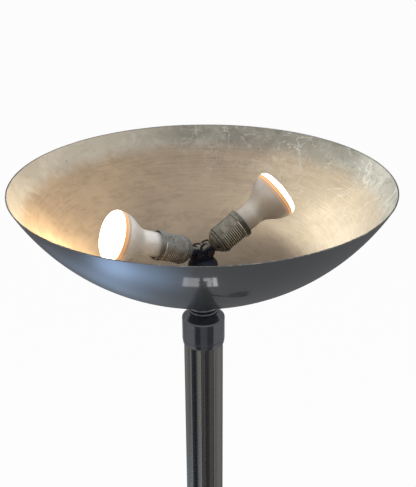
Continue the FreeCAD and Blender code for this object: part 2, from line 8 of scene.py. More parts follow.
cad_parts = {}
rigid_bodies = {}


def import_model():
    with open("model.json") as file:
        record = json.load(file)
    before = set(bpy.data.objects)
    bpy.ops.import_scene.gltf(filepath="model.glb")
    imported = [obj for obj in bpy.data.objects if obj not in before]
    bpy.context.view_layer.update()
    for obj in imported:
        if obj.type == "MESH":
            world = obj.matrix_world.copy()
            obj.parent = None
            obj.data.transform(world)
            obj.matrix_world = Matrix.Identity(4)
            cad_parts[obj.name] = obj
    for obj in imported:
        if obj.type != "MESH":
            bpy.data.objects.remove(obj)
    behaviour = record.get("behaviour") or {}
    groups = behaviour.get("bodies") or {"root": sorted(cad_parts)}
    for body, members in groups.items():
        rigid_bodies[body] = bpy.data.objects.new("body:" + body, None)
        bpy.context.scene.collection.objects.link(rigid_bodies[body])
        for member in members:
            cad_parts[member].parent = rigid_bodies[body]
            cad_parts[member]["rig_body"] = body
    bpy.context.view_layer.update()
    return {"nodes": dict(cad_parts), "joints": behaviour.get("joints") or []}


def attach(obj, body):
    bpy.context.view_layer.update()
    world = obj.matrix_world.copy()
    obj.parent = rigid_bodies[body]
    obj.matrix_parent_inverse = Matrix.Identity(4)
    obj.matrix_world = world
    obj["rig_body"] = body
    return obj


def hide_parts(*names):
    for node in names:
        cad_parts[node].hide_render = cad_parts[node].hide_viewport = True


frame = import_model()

nodes = frame["nodes"]
joints = {joint["name"]: joint for joint in frame["joints"]}
mm = 0.001
print("frame loaded:", len(nodes), "nodes")


# Lengths given in mm, with plain values beside them
class Sizes:
    def __init__(self, plain=None, **lengths):
        for key, value in lengths.items():
            setattr(self, key, value * mm)
        for key, value in (plain or {}).items():
            setattr(self, key, value)


def worked(operation, swapped=False):
    def result(self, other):
        return self.maths(operation, *((other, self) if swapped else (self, other)))
    return result


# Shader values that can be used in sums
class Signal:
    def __init__(self, tree, plug):
        self.tree = tree
        self.plug = plug

    def maths(self, operation, first, second=0.0, clamp=False):
        node = self.tree.nodes.new("ShaderNodeMath")
        node.operation = operation
        node.use_clamp = clamp
        feed(self.tree, node.inputs[0], first)
        feed(self.tree, node.inputs[1], second)
        return Signal(self.tree, node.outputs[0])

    __add__, __radd__ = worked("ADD"), worked("ADD", True)
    __sub__, __rsub__ = worked("SUBTRACT"), worked("SUBTRACT", True)
    __mul__, __rmul__ = worked("MULTIPLY"), worked("MULTIPLY", True)
    __truediv__, __rtruediv__ = worked("DIVIDE"), worked("DIVIDE", True)
    __pow__ = worked("POWER")

    def clamped(self):
        return self.maths("ADD", self, 0.0, clamp=True)


def feed(tree, socket, value):
    if isinstance(value, Signal):
        tree.links.new(value.plug, socket)
    else:
        socket.default_value = value


# A node tree with the few nodes that the finishes share
class Finish:
    def __init__(self, name, tree=None):
        if tree is None:
            self.material = bpy.data.materials.new(name)
            self.material.use_nodes = True
            tree = self.material.node_tree
        self.tree = tree
        self.tree.nodes.clear()

    def node(self, kind, settings=None, values=None, out=0):
        made = self.tree.nodes.new(kind)
        for key, value in (settings or {}).items():
            if key == "stops":
                setStops(made.color_ramp, value)
            else:
                setattr(made, key, value)
        for key, value in (values or {}).items():
            feed(self.tree, made.inputs[key], value)
        return Signal(self.tree, made.outputs[out]) if made.outputs else None

    def axes(self, spot):
        split = self.node("ShaderNodeSeparateXYZ", values={0: spot}).plug.node
        return [Signal(self.tree, output) for output in split.outputs]

    def vector(self, x, y, z):
        return self.node("ShaderNodeCombineXYZ", values={0: x, 1: y, 2: z})

    def stretched(self, spot, *shares):
        return self.node("ShaderNodeVectorMath", {"operation": "MULTIPLY"}, {0: spot, 1: shares})

    def shifted(self, spot, *shifts):
        return self.node("ShaderNodeVectorMath", {"operation": "ADD"}, {0: spot, 1: shifts})

    def noise(self, spot, scale, detail=3.0, rough=0.5, twist=0.0):
        return self.node("ShaderNodeTexNoise", values={
            "Vector": spot, "Scale": scale, "Detail": detail, "Roughness": rough, "Distortion": twist})

    def cells(self, spot, scale):
        return self.node("ShaderNodeTexVoronoi", values={"Vector": spot, "Scale": scale})

    def ranged(self, value, low, high, first=0.0, last=1.0):
        # a smooth step from first to last while the value goes from low to high
        return self.node("ShaderNodeMapRange", {"interpolation_type": "SMOOTHSTEP"},
                         {0: value, 1: low, 2: high, 3: first, 4: last})

    def ramp(self, value, *stops):
        return self.node("ShaderNodeValToRGB", {"stops": stops}, {0: value})

    def blend(self, factor, first, second):
        # sockets 6 and 7 take the two colours, and output 2 gives their mix
        return self.node("ShaderNodeMix", {"data_type": "RGBA"},
                         {0: factor, 6: rgba(first), 7: rgba(second)}, 2)

    def bump(self, height, depth, strength):
        return self.node("ShaderNodeBump", values={"Height": height, "Distance": depth, "Strength": strength})

    def polar(self, axes):
        # distance from the Z axis, and the direction as two shares
        x, y, z = axes
        radius = (x * x + y * y) ** 0.5
        return radius, x / (radius + 1e-6), y / (radius + 1e-6)

    def output(self, shader):
        self.node("ShaderNodeOutputMaterial", values={0: shader})
        return self.material

    def surface(self, colour, rough, normal, metallic=0.0, more=None):
        values = {"Base Color": colour, "Roughness": rough, "Normal": normal, "Metallic": metallic}
        return self.output(self.node("ShaderNodeBsdfPrincipled", values={**values, **(more or {})}))


def begun(name):
    # a finish, and the place in its piece's own frame
    f = Finish(name)
    return f, f.node("ShaderNodeTexCoord", out="Object")


def scaled(colour, share):
    return tuple(share * part for part in colour)


def rgba(colour):
    if isinstance(colour, Signal) or len(colour) == 4:
        return colour
    return (*colour, 1.0)


def setStops(ramp, stops):
    while len(ramp.elements) > 1:
        ramp.elements.remove(ramp.elements[-1])
    ramp.elements[0].position = stops[0][0]
    ramp.elements[0].color = rgba(stops[0][1])
    for position, colour in stops[1:]:
        ramp.elements.new(position).color = rgba(colour)


# Outlines: (r, z) draws a line, (r, z, r, z) an arc through a point
def drawn(start, *steps, fine=3.0):
    line = [Vector(start)]
    for step in steps:
        if len(step) == 4:
            line += arc(line[-1], Vector(step[:2]), Vector(step[2:]), fine)
        else:
            line.append(Vector(step))
    return line


def arc(start, middle, end, fine):
    first, second = middle - start, end - start
    cross = 2 * (first.x * second.y - first.y * second.x)
    centre = start + Vector((second.y * first.length_squared - first.y * second.length_squared,
                             first.x * second.length_squared - second.x * first.length_squared)) / cross
    spokes = [point - centre for point in (start, middle, end)]
    angles = [math.atan2(spoke.y, spoke.x) for spoke in spokes]
    sweep = (angles[2] - angles[0]) % math.tau
    if (angles[1] - angles[0]) % math.tau > sweep:
        sweep -= math.tau
    steps = max(3, math.ceil(abs(math.degrees(sweep)) / fine))
    radius = spokes[0].length
    return [centre + radius * Vector((math.cos(angles[0] + sweep * step / steps),
                                      math.sin(angles[0] + sweep * step / steps)))
            for step in range(1, steps + 1)]


def softened(line, rounding, sharper=25.0, steps=4):
    # every corner of a loop that bends by more than the angle gets a small round
    result = []
    for index, here in enumerate(line):
        before, after = line[index - 1], line[(index + 1) % len(line)]
        back, ahead = before - here, after - here
        onAxis = here.x < 1e-7
        if onAxis or back.length < 1e-9 or ahead.length < 1e-9:
            result.append(here)
            continue
        bend = math.pi - back.angle(ahead)
        if math.degrees(bend) < sharper:
            result.append(here)
            continue
        reach = min(rounding * math.tan(bend / 2), back.length * 0.45, ahead.length * 0.45)
        first, last = here + back.normalized() * reach, here + ahead.normalized() * reach
        for step in range(steps + 1):
            t = step / steps
            result.append(first * (1 - t) ** 2 + here * 2 * t * (1 - t) + last * t * t)
    return result


def divided(line, longest):
    # extra points along the straight runs, for shapes that bulge between them
    result = []
    for here, there in zip(line, line[1:] + line[:1]):
        result.append(here)
        parts = math.ceil((there - here).length / longest)
        result += [here.lerp(there, part / parts) for part in range(1, parts)]
    return result


def circle(radius, angles=range(0, 360, 10), middle=(0.0, 0.0)):
    turns = [math.radians(angle) for angle in angles]
    return [(middle[0] + radius * math.cos(turn), middle[1] + radius * math.sin(turn)) for turn in turns]


# Meshes
def pieceFrom(name, points, faces, finishes, body, bands=None, place=None, sharp=35.0):
    mesh = bpy.data.meshes.new(name)
    mesh.from_pydata(points, [], faces)
    if bands:
        mesh.polygons.foreach_set("material_index", bands)
    shape = bmesh.new()
    shape.from_mesh(mesh)
    bmesh.ops.recalc_face_normals(shape, faces=shape.faces)
    shape.to_mesh(mesh)
    shape.free()
    return linked(name, mesh, finishes, body, place, sharp)


def inScene(name, data, place=None):
    piece = bpy.data.objects.new(name, data)
    bpy.context.scene.collection.objects.link(piece)
    if place:
        piece.matrix_world = place
    return piece


def linked(name, mesh, finishes, body, place=None, sharp=35.0):
    for finish in finishes:
        mesh.materials.append(finish)
    mesh.shade_smooth()
    mesh.set_sharp_from_angle(angle=math.radians(sharp))
    piece = inScene(name, mesh, place)
    bpy.context.view_layer.update()
    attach(piece, body)
    return piece


def turned(name, line, finishes, body, turns=128, bands=None, place=None, swell=None, sharp=35.0):
    points, rings = [], []
    for spot in line:
        if spot.x < 1e-7:
            rings.append([len(points)])
            points.append((0.0, 0.0, spot.y))
            continue
        rings.append(range(len(points), len(points) + turns))
        for turn in range(turns):
            angle = math.tau * turn / turns
            radius = spot.x + (swell(angle, spot.y, spot.x) if swell else 0.0)
            points.append((radius * math.cos(angle), radius * math.sin(angle), spot.y))
    faces, marks = [], []
    for index, ring in enumerate(rings):
        following = rings[(index + 1) % len(rings)]
        if len(ring) == 1 and len(following) == 1:
            continue
        middle = (line[index] + line[(index + 1) % len(line)]) / 2
        mark = bands(middle.x, middle.y, index) if bands else 0
        for turn in range(turns):
            other = (turn + 1) % turns
            corners = [ring[turn % len(ring)], ring[other % len(ring)],
                       following[other % len(following)], following[turn % len(following)]]
            faces.append(list(dict.fromkeys(corners)))
            marks.append(mark)
    return pieceFrom(name, points, faces, finishes, body, marks, place, sharp)


def extruded(name, outline, low, high, finishes, body, bevel=0.0, place=None):
    # an outline in XZ pushed out along Y, with eased edges
    shape = bmesh.new()
    ends = [[shape.verts.new((x, level, z)) for x, z in outline] for level in (low, high)]
    count = len(outline)
    caps = [shape.faces.new(ring) for ring in ends]
    for index in range(count):
        other = (index + 1) % count
        shape.faces.new([ends[0][index], ends[0][other], ends[1][other], ends[1][index]])
    bmesh.ops.recalc_face_normals(shape, faces=shape.faces)
    if bevel:
        edges = [edge for cap in caps for edge in cap.edges]
        bmesh.ops.bevel(shape, geom=edges, offset=bevel, segments=3, profile=0.5, affect="EDGES")
    mesh = bpy.data.meshes.new(name)
    shape.to_mesh(mesh)
    shape.free()
    return linked(name, mesh, finishes, body, place)


def joined(name, pieces, body):
    # one mesh from several, each already in place in the first one's frame
    shape = bmesh.new()
    place = pieces[0].matrix_world.copy()
    finishes = []
    for piece in pieces:
        part = piece.data.copy()
        part.transform(place.inverted() @ piece.matrix_world)
        shift = len(shape.faces)
        slots = [len(finishes) + slot for slot in range(len(part.materials))]
        finishes += list(part.materials)
        shape.from_mesh(part)
        shape.faces.ensure_lookup_table()
        for face in list(shape.faces)[shift:]:
            face.material_index = slots[face.material_index]
        bpy.data.meshes.remove(part)
    mesh = bpy.data.meshes.new(name)
    shape.to_mesh(mesh)
    shape.free()
    for piece in pieces:
        bpy.data.objects.remove(piece)
    return linked(name, mesh, finishes, body, place)


def carved(piece, cutters):
    # the cutters leave their shape in the piece, and go
    for cutter in cutters:
        cut = piece.modifiers.new("cut", "BOOLEAN")
        cut.object = cutter
        cut.solver = "EXACT"
    bpy.context.view_layer.update()
    shape = bpy.data.meshes.new_from_object(piece.evaluated_get(bpy.context.evaluated_depsgraph_get()))
    piece.modifiers.clear()
    piece.data = shape
    shape.set_sharp_from_angle(angle=math.radians(35))
    for cutter in cutters:
        bpy.data.objects.remove(cutter)
    return piece


def settled(piece):
    # the piece's place goes into its mesh, so that its box is true
    body = piece["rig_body"]
    piece.data.transform(piece.matrix_world)
    piece.parent = None
    piece.matrix_world = Matrix()
    bpy.context.view_layer.update()
    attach(piece, body)


def standsFor(piece, node):
    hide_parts(node)


def measured(node, place=Matrix()):
    # lowest point, highest point and widest radius of a node in a piece's own frame
    mesh = nodes[node].data
    flat = np.empty(len(mesh.vertices) * 3)
    mesh.vertices.foreach_get("co", flat)
    own = place.inverted()
    points = flat.reshape(-1, 3) @ np.array(own.to_3x3()).T + np.array(own.translation)
    return points[:, 2].min(), points[:, 2].max(), np.hypot(points[:, 0], points[:, 1]).max()


def smooth(value, low, high):
    t = min(1.0, max(0.0, (value - low) / (high - low)))
    return t * t * (3 - 2 * t)


# Finishes
def bowlOutside():
    look = {"base": (0.066, 0.068, 0.072), "streak": (0.092, 0.094, 0.098), "gloss": 0.055, "smudge": 0.075,
            "soft": 0.3, "evenShare": 0.78, "polish": (0.050, 0.052, 0.055, 1.0)}
    f, spot = begun("bowl_outside")
    axes = f.axes(spot)
    across, deep = f.polar(axes)[1:]
    rings = f.noise(f.vector(across * 1.5, deep * 1.5, axes[2] * 900), 1.0, 4.0, 0.6)
    wide = f.noise(f.vector(across * 3, deep * 3, axes[2] * 120), 1.0, 3.0)
    smudge = f.noise(spot, 14.0, 4.0, 0.6, 0.4)
    streaks = f.ranged(rings, 0.42, 0.68)
    colour = f.blend(streaks * 0.55 + wide * 0.25, look["base"], look["streak"])
    gloss = look["gloss"] + streaks * 0.04 + f.ranged(smudge, 0.45, 0.75) * look["smudge"]
    normal = f.bump(rings * 0.6 + wide * 0.4, 0.02 * mm, 0.35)
    metal = f.node("ShaderNodeBsdfPrincipled", values={
        "Base Color": colour, "Metallic": 0.15, "Roughness": gloss + look["soft"], "Specular IOR Level": 0.3,
        "Normal": normal})
    even = f.node("ShaderNodeBsdfAnisotropic", values={
        "Color": look["polish"], "Roughness": gloss, "Normal": normal})
    return f.output(f.node("ShaderNodeMixShader", values={0: look["evenShare"], 1: metal, 2: even}))


def bowlLip():
    f, spot = begun("bowl_lip")
    axes = f.axes(spot)
    across, deep = f.polar(axes)[1:]
    wear = f.noise(f.vector(across * 60, deep * 60, axes[2] * 300), 1.0, 4.0)
    rubbed = f.noise(f.vector(across * 5, deep * 5, 0.3), 1.0, 3.0)
    colour = f.ramp(wear * 0.5 + rubbed * 0.5, (0.35, (0.070, 0.070, 0.072)), (0.52, (0.16, 0.158, 0.15)),
                    (0.68, (0.42, 0.41, 0.385)))
    return f.surface(colour, 0.38 + wear * 0.2, f.bump(wear, 0.03 * mm, 0.5), 0.9,
                     {"Specular Tint": (0.4, 0.4, 0.4, 1.0)})


def bowlInside(rimLevel, floorLevel):
    look = {"tan": (0.325, 0.256, 0.181), "deepTan": (0.215, 0.166, 0.117), "line": (0.42, 0.345, 0.26),
            "blotch": (0.175, 0.132, 0.094), "band": (0.195, 0.190, 0.165), "paleBand": (0.54, 0.525, 0.48),
            "mottle": (0.115, 0.110, 0.092), "smear": (0.50, 0.49, 0.455), "bandDepth": 27 * mm,
            "ragged": 26 * mm, "speck": (0.05, 0.042, 0.034), "floorDarkening": (0.12, 0.095, 0.07),
            "loops": ((13.0, 3.1, 1.0), (24.0, 8.7, 0.8), (41.0, 5.3, 0.6))}
    f, spot = begun("bowl_inside")
    axes = f.axes(spot)
    radius, across, deep = f.polar(axes)
    brush = f.noise(f.vector(across * 3.5, deep * 3.5, (radius + axes[2]) * 1100), 1.0, 5.0, 0.65)
    broad = f.noise(f.vector(across * 4, deep * 4, (radius + axes[2]) * 90), 1.0, 3.0)
    cloud = f.noise(spot, 7.0, 5.0, 0.65, 0.3)
    blotch = f.noise(f.stretched(spot, 34, 34, 95), 1.0, 5.0, 0.72, 0.6)
    tan = f.blend(f.ranged(cloud, 0.32, 0.70), look["deepTan"], look["tan"])
    tan = f.blend(f.ranged(blotch, 0.45, 0.70) * 0.5, tan, look["blotch"])
    tan = f.blend(f.ranged(brush, 0.42, 0.70) * 0.36, tan, look["line"])
    tan = f.blend(f.ranged(broad, 0.52, 0.70) * 0.30, tan, look["deepTan"])
    # worn band below the rim, with a ragged lower edge; palest at the sides, smeared towards the far right
    depth = rimLevel - axes[2]
    ragged = f.noise(f.vector(across * 9, deep * 9, axes[2] * 40), 1.0, 5.0, 0.7, 0.8)
    edge = look["bandDepth"] + (ragged - 0.5) * look["ragged"]
    band = 1 - f.ranged(depth - edge, -13 * mm, 11 * mm)
    sides = f.ranged(across * -1.0, 0.05, 0.8) + f.ranged(across, 0.86, 0.97) * 0.7
    worn = f.ranged(across * 0.78 + deep * 0.62, 0.15, 0.9)
    haze = f.noise(f.stretched(spot, 11, 11, 24), 1.0, 5.0, 0.7, 0.8)
    mottle = f.noise(f.stretched(spot, 42, 42, 70), 1.0, 5.0, 0.75, 0.9)
    grey = f.blend(sides * 0.6 + f.ranged(haze, 0.42, 0.72) * 0.35, look["band"], look["paleBand"])
    grey = f.blend(f.ranged(mottle, 0.46, 0.66) * (0.15 + worn * 0.55), grey, look["mottle"])
    # wiped loops and scratches, thin pale lines that wander
    loops = 0.0
    for scale, shift, strength in look["loops"]:
        spread = f.shifted(f.stretched(spot, scale, scale, scale * 1.3), shift, 0.7, 1.9)
        wander = f.noise(spread, 1.0, 4.0, 0.55, 0.6)
        ridge = wander.maths("ABSOLUTE", wander - 0.5)
        loops = f.ranged(ridge, 0.016, 0.001) * strength + loops
    patchy = f.ranged(f.noise(spot, 22.0, 4.0, 0.7), 0.36, 0.60)
    loops = (loops * patchy).clamped()
    grey = f.blend(loops * (0.06 + worn * 0.60), grey, look["smear"])
    colour = f.blend(band * 0.85, tan, grey)
    stray = loops * f.ranged(depth, 90 * mm, 30 * mm) * (0.05 + worn * 0.14)
    colour = f.blend(stray, colour, look["smear"])
    specks = f.ranged(f.cells(spot, 62.0), 0.075, 0.035)
    keep = f.ranged(f.noise(spot, 31.0, 2.0), 0.56, 0.62)
    colour = f.blend(specks * keep * 0.7, colour, look["speck"])
    # darker towards the bowl's floor, within 30 mm of it
    floorDarkening = f.ranged(axes[2] - floorLevel, 0.0, 30 * mm, 0.5, 0.0)
    colour = f.blend(floorDarkening, colour, look["floorDarkening"])
    gloss = 0.43 + brush * 0.12 + band * 0.06 - loops * band * 0.06
    height = brush * 0.6 + broad * 0.5 + band * mottle * 0.3
    return f.surface(colour, gloss, f.bump(height, 0.05 * mm, 0.45), 0.42 + band * 0.12)


def turnedMetal(name, dark, pale, gloss, lines=1400.0, tint=0.35, metallic=1.0):
    # turned and plated: fine rings round the piece's own axis, wiped smudges, tiny pits
    f, spot = begun(name)
    axes = f.axes(spot)
    radius, across, deep = f.polar(axes)
    rings = f.noise(f.vector(across * 1.4, deep * 1.4, (axes[2] + radius) * lines), 1.0, 4.0, 0.6)
    smudge = f.noise(spot, 45.0, 4.0, 0.6, 0.5)
    pits = f.ranged(f.cells(spot, 420.0), 0.10, 0.04)
    keep = f.ranged(f.noise(spot, 120.0, 2.0), 0.58, 0.66)
    colour = f.blend(f.ranged(rings, 0.4, 0.7) * 0.6 + smudge * 0.3, dark, pale)
    colour = f.blend(pits * keep * 0.6, colour, scaled(dark, 0.35))
    rough = gloss + f.ranged(smudge, 0.4, 0.75) * 0.12 + rings * 0.04
    return f.surface(colour, rough, f.bump(rings - pits * keep * 0.8, 0.02 * mm, 0.4), metallic,
                     {"Specular Tint": (tint, tint, tint, 1.0)})


def columnMetal():
    f, spot = begun("fluted_column_metal")
    draw = f.noise(f.stretched(spot, 900, 900, 6), 1.0, 4.0, 0.6)
    fine = f.noise(f.stretched(spot, 2400, 2400, 40), 1.0, 2.0)
    dust = f.noise(spot, 240.0, 3.0, 0.7)
    colour = f.ramp(draw * 0.7 + fine * 0.3, (0.25, (0.106, 0.103, 0.099)), (0.55, (0.140, 0.137, 0.130)),
                    (0.8, (0.190, 0.186, 0.176)))
    colour = f.blend(f.ranged(dust, 0.62, 0.78) * 0.3, colour, (0.16, 0.16, 0.155))
    return f.surface(colour, 0.19 + draw * 0.1 + dust * 0.05, f.bump(draw, 0.015 * mm, 0.5), 1.0,
                     {"Specular Tint": (0.4, 0.4, 0.4, 1.0)})


def satinNickel():
    f, spot = begun("satin_nickel_cover")
    brush = f.noise(f.stretched(spot, 18, 1500, 1500), 1.0, 4.0, 0.6)
    wipe = f.noise(spot, 11.0, 4.0, 0.6, 0.6)
    colour = f.ramp(brush * 0.65 + wipe * 0.35, (0.3, (0.40, 0.395, 0.385)), (0.6, (0.50, 0.495, 0.48)),
                    (0.8, (0.58, 0.57, 0.55)))
    return f.surface(colour, 0.26 + brush * 0.1 + wipe * 0.08, f.bump(brush, 0.015 * mm, 0.45), 1.0)


def agedShell(name, pale, dark, rustAndShade, threads=None, under=None):
    # worn zinc: dull blotches, corroded spots, rubbed streaks; on a threaded piece bright threads as a
    # painted highlight on the crests, with painted shade in the grooves between them, on the side the threads
    # face
    f, spot = begun(name)
    axes = f.axes(spot)
    across, deep = f.polar(axes)[1:]
    rings = f.noise(f.vector(across * 2, deep * 2, axes[2] * 1500), 1.0, 4.0, 0.6)
    blotch = f.noise(spot, 85.0, 5.0, 0.68, 0.8)
    spots = f.noise(spot, 330.0, 4.0, 0.65)
    colour = f.blend(f.ranged(blotch, 0.38, 0.64), dark, pale)
    colour = f.blend(f.ranged(rings, 0.45, 0.75) * 0.3, colour, scaled(pale, 1.2))
    rusty = f.ranged(spots, 0.54, 0.68) * f.ranged(blotch, 0.60, 0.42)
    colour = f.blend(rusty * 0.85, colour, rustAndShade)
    turn = spot.maths("ARCTAN2", deep, across)
    # the side of a ring given by under is darkened towards the darkest tone: painted shade on its underside
    if under:
        facing = turn.maths("COSINE", turn - math.radians(under[0]))
        colour = f.blend(f.ranged(facing, 0.1, 0.75) * under[1], colour, rustAndShade)
    # painted highlight on the thread crests and painted shade in the grooves, shown only on the side the
    # threads face
    if threads:
        facing = turn.maths("COSINE", turn - math.radians(threads["middle"]))
        threadLightMask = f.ranged(facing, *threads["facing"]) * f.ranged(axes[2], *threads["from"])
        threadLightMask = threadLightMask * f.ranged(axes[2], *threads["until"])
        wave = turn.maths("COSINE", axes[2] * (math.tau / threads["pitch"]) - turn)
        colour = f.blend(threadLightMask * f.ranged(wave, 0.1, 0.9) * 0.75, colour, threads["bright"])
        colour = f.blend(threadLightMask * f.ranged(wave, 0.1, -0.6) * 0.85, colour, rustAndShade)
    return f.surface(colour, 0.46 + blotch * 0.16 + rusty * 0.15,
                     f.bump(rings * 0.3 + spots * 0.6 - rusty * 0.5, 0.07 * mm, 0.6), 0.62 - rusty * 0.4)


def brightWire():
    f, spot = begun("bright_ring_wire")
    tarnish = f.noise(spot, 260.0, 4.0, 0.6)
    colour = f.ramp(tarnish, (0.35, (0.50, 0.49, 0.43)), (0.6, (0.80, 0.79, 0.72)))
    return f.surface(colour, 0.22 + tarnish * 0.2, f.bump(tarnish, 0.02 * mm, 0.4), 0.9)


def bulbSkin(name, colour, glow):
    f, spot = begun(name)
    cloud = f.noise(spot, 60.0, 4.0, 0.6)
    fine = f.noise(spot, 900.0, 2.0)
    tone = f.blend(f.ranged(cloud, 0.3, 0.75), scaled(colour, 0.82), colour)
    return f.surface(tone, 0.36 + cloud * 0.12, f.bump(cloud * 0.5 + fine * 0.5, 0.02 * mm, 0.3), 0.35,
                     {"Coat Weight": 0.25, "Emission Color": (1.0, 0.84, 0.66, 1.0),
                      "Emission Strength": glow})


def glowing(name, base, light, edge, strength):
    f, spot = begun(name)
    radius = f.polar(f.axes(spot))[0]
    frost = f.noise(spot, 500.0, 3.0, 0.6)
    hue = f.blend(f.ranged(radius, 22 * mm, 32 * mm) * 0.8 + frost * 0.1, light, edge)
    tone = f.blend(frost * 0.25, base, scaled(base, 0.85))
    return f.surface(tone, 0.45, f.bump(frost, 0.02 * mm, 0.4),
                     more={"Emission Color": hue, "Emission Strength": strength})


def blackEnamel():
    f, spot = begun("black_carrier_enamel")
    orange = f.noise(spot, 420.0, 3.0, 0.5)
    dust = f.noise(spot, 90.0, 5.0, 0.7)
    colour = f.blend(f.ranged(dust, 0.5, 0.75) * 0.5, (0.010, 0.013, 0.023), (0.034, 0.037, 0.046))
    return f.surface(colour, 0.40 + dust * 0.25, f.bump(orange, 0.04 * mm, 0.4),
                     more={"Specular IOR Level": 0.14})


def mouldedBlack(name, grain, gloss):
    f, spot = begun(name)
    texture = f.noise(spot, grain, 3.0, 0.6)
    dust = f.noise(spot, 60.0, 4.0, 0.6)
    colour = f.blend(f.ranged(dust, 0.5, 0.8) * 0.5, (0.018, 0.018, 0.019), (0.04, 0.04, 0.04))
    return f.surface(colour, gloss + texture * 0.15, f.bump(texture, 0.03 * mm, 0.5))


def plainMetal(name, dark, pale, rough):
    f, spot = begun(name)
    grain = f.noise(f.stretched(spot, 700, 700, 1400), 1.0, 4.0, 0.6)
    stain = f.noise(spot, 55.0, 4.0, 0.6)
    colour = f.blend(grain * 0.5 + f.ranged(stain, 0.35, 0.7) * 0.5, dark, pale)
    return f.surface(colour, rough + stain * 0.15, f.bump(grain, 0.02 * mm, 0.5), 1.0)


def castIron():
    f, spot = begun("cast_iron_weight")
    sand = f.noise(spot, 700.0, 4.0, 0.7)
    stain = f.noise(spot, 30.0, 4.0, 0.6)
    colour = f.blend(stain, (0.05, 0.048, 0.046), (0.12, 0.105, 0.09))
    return f.surface(colour, 0.6 + sand * 0.2, f.bump(sand, 0.15 * mm, 0.7), 0.6)


def feltPad():
    f, spot = begun("base_felt_pad")
    fibres = f.noise(f.stretched(spot, 900, 260, 900), 1.0, 4.0, 0.7, 1.5)
    tufts = f.noise(spot, 130.0, 4.0, 0.6)
    colour = f.blend(fibres * 0.6 + tufts * 0.4, (0.028, 0.028, 0.029), (0.085, 0.085, 0.087))
    return f.surface(colour, 0.95, f.bump(fibres + tufts * 0.5, 0.2 * mm, 0.8), more={"Sheen Weight": 0.3})


def glazed():
    f, spot = begun("glazed_ceramic")
    cloud = f.noise(spot, 80.0, 4.0, 0.6)
    pores = f.ranged(f.cells(spot, 500.0), 0.12, 0.05)
    colour = f.blend(cloud, (0.74, 0.71, 0.64), (0.86, 0.84, 0.78))
    colour = f.blend(pores * 0.3, colour, (0.4, 0.36, 0.3))
    return f.surface(colour, 0.22 + cloud * 0.1, f.bump(cloud - pores, 0.03 * mm, 0.4))


def frostedGlobe():
    f, spot = begun("frosted_globe")
    frost = f.noise(spot, 800.0, 3.0, 0.6)
    cloud = f.noise(spot, 40.0, 3.0)
    colour = f.blend(cloud * 0.6 + frost * 0.2, (0.86, 0.86, 0.83), (0.93, 0.93, 0.91))
    return f.surface(colour, 0.28 + frost * 0.1, f.bump(frost, 0.01 * mm, 0.3), more={"Coat Weight": 0.2})


def shadeInside():
    f, spot = begun("shade_inside_white")
    paint = f.noise(spot, 380.0, 3.0, 0.6)
    dust = f.noise(spot, 28.0, 4.0, 0.6)
    colour = f.blend(f.ranged(dust, 0.4, 0.8) * 0.6, (0.80, 0.79, 0.76), (0.66, 0.64, 0.59))
    return f.surface(colour, 0.42 + paint * 0.1, f.bump(paint, 0.03 * mm, 0.4))


print("finishes ready to use")

blackNickel = turnedMetal("black_nickel_turned", (0.078, 0.081, 0.093), (0.118, 0.120, 0.130), 0.11,
                          metallic=0.72)
# a paler copy of the black nickel for the spindle and cup plate: painted reflection
neckNickelPaintedLight = turnedMetal("neck_nickel_painted_light", (0.165, 0.172, 0.190), (0.225, 0.232, 0.250), 0.16,
                         metallic=0.7)
shadeMetal = turnedMetal("satin_nickel_spun", (0.46, 0.455, 0.445), (0.60, 0.595, 0.58), 0.34,
                         1100.0, 0.8, 0.55)
columnFinish = columnMetal()
coverFinish = satinNickel()
enamel = blackEnamel()
blackPlastic = mouldedBlack("black_plastic_moulded", 900.0, 0.38)
blackRubber = mouldedBlack("black_rubber", 1500.0, 0.6)
zincSteel = plainMetal("zinc_steel", (0.34, 0.34, 0.35), (0.52, 0.52, 0.52), 0.28)
turnedAlloy = plainMetal("turned_alloy", (0.48, 0.48, 0.48), (0.66, 0.66, 0.66), 0.3)
brassCap = plainMetal("brass_cap", (0.50, 0.36, 0.14), (0.70, 0.53, 0.25), 0.25)
ceramic = glazed()
iron = castIron()
felt = feltPad()
globe = frostedGlobe()
shadeWhite = shadeInside()
# thread tables; "bright" is the painted highlight on the crests, and the grooves take painted shade in the
# darkest tone
rightThreads = {"pitch": 2.75 * mm, "depth": 0.55 * mm, "middle": -68, "facing": (0.42, 0.58),
                "from": (22.5 * mm, 25 * mm), "until": (51 * mm, 50.5 * mm), "bright": (0.52, 0.50, 0.42)}
leftThreads = {"pitch": 2.6 * mm, "depth": 0.6 * mm, "middle": 58, "facing": (0.84, 0.90),
               "from": (31 * mm, 32.5 * mm), "until": (48.5 * mm, 48 * mm), "bright": (0.80, 0.79, 0.73)}
zincWarm = ((0.230, 0.218, 0.178), (0.115, 0.108, 0.084), (0.028, 0.024, 0.017))
zincCold = ((0.265, 0.264, 0.248), (0.175, 0.173, 0.162), (0.060, 0.056, 0.048))
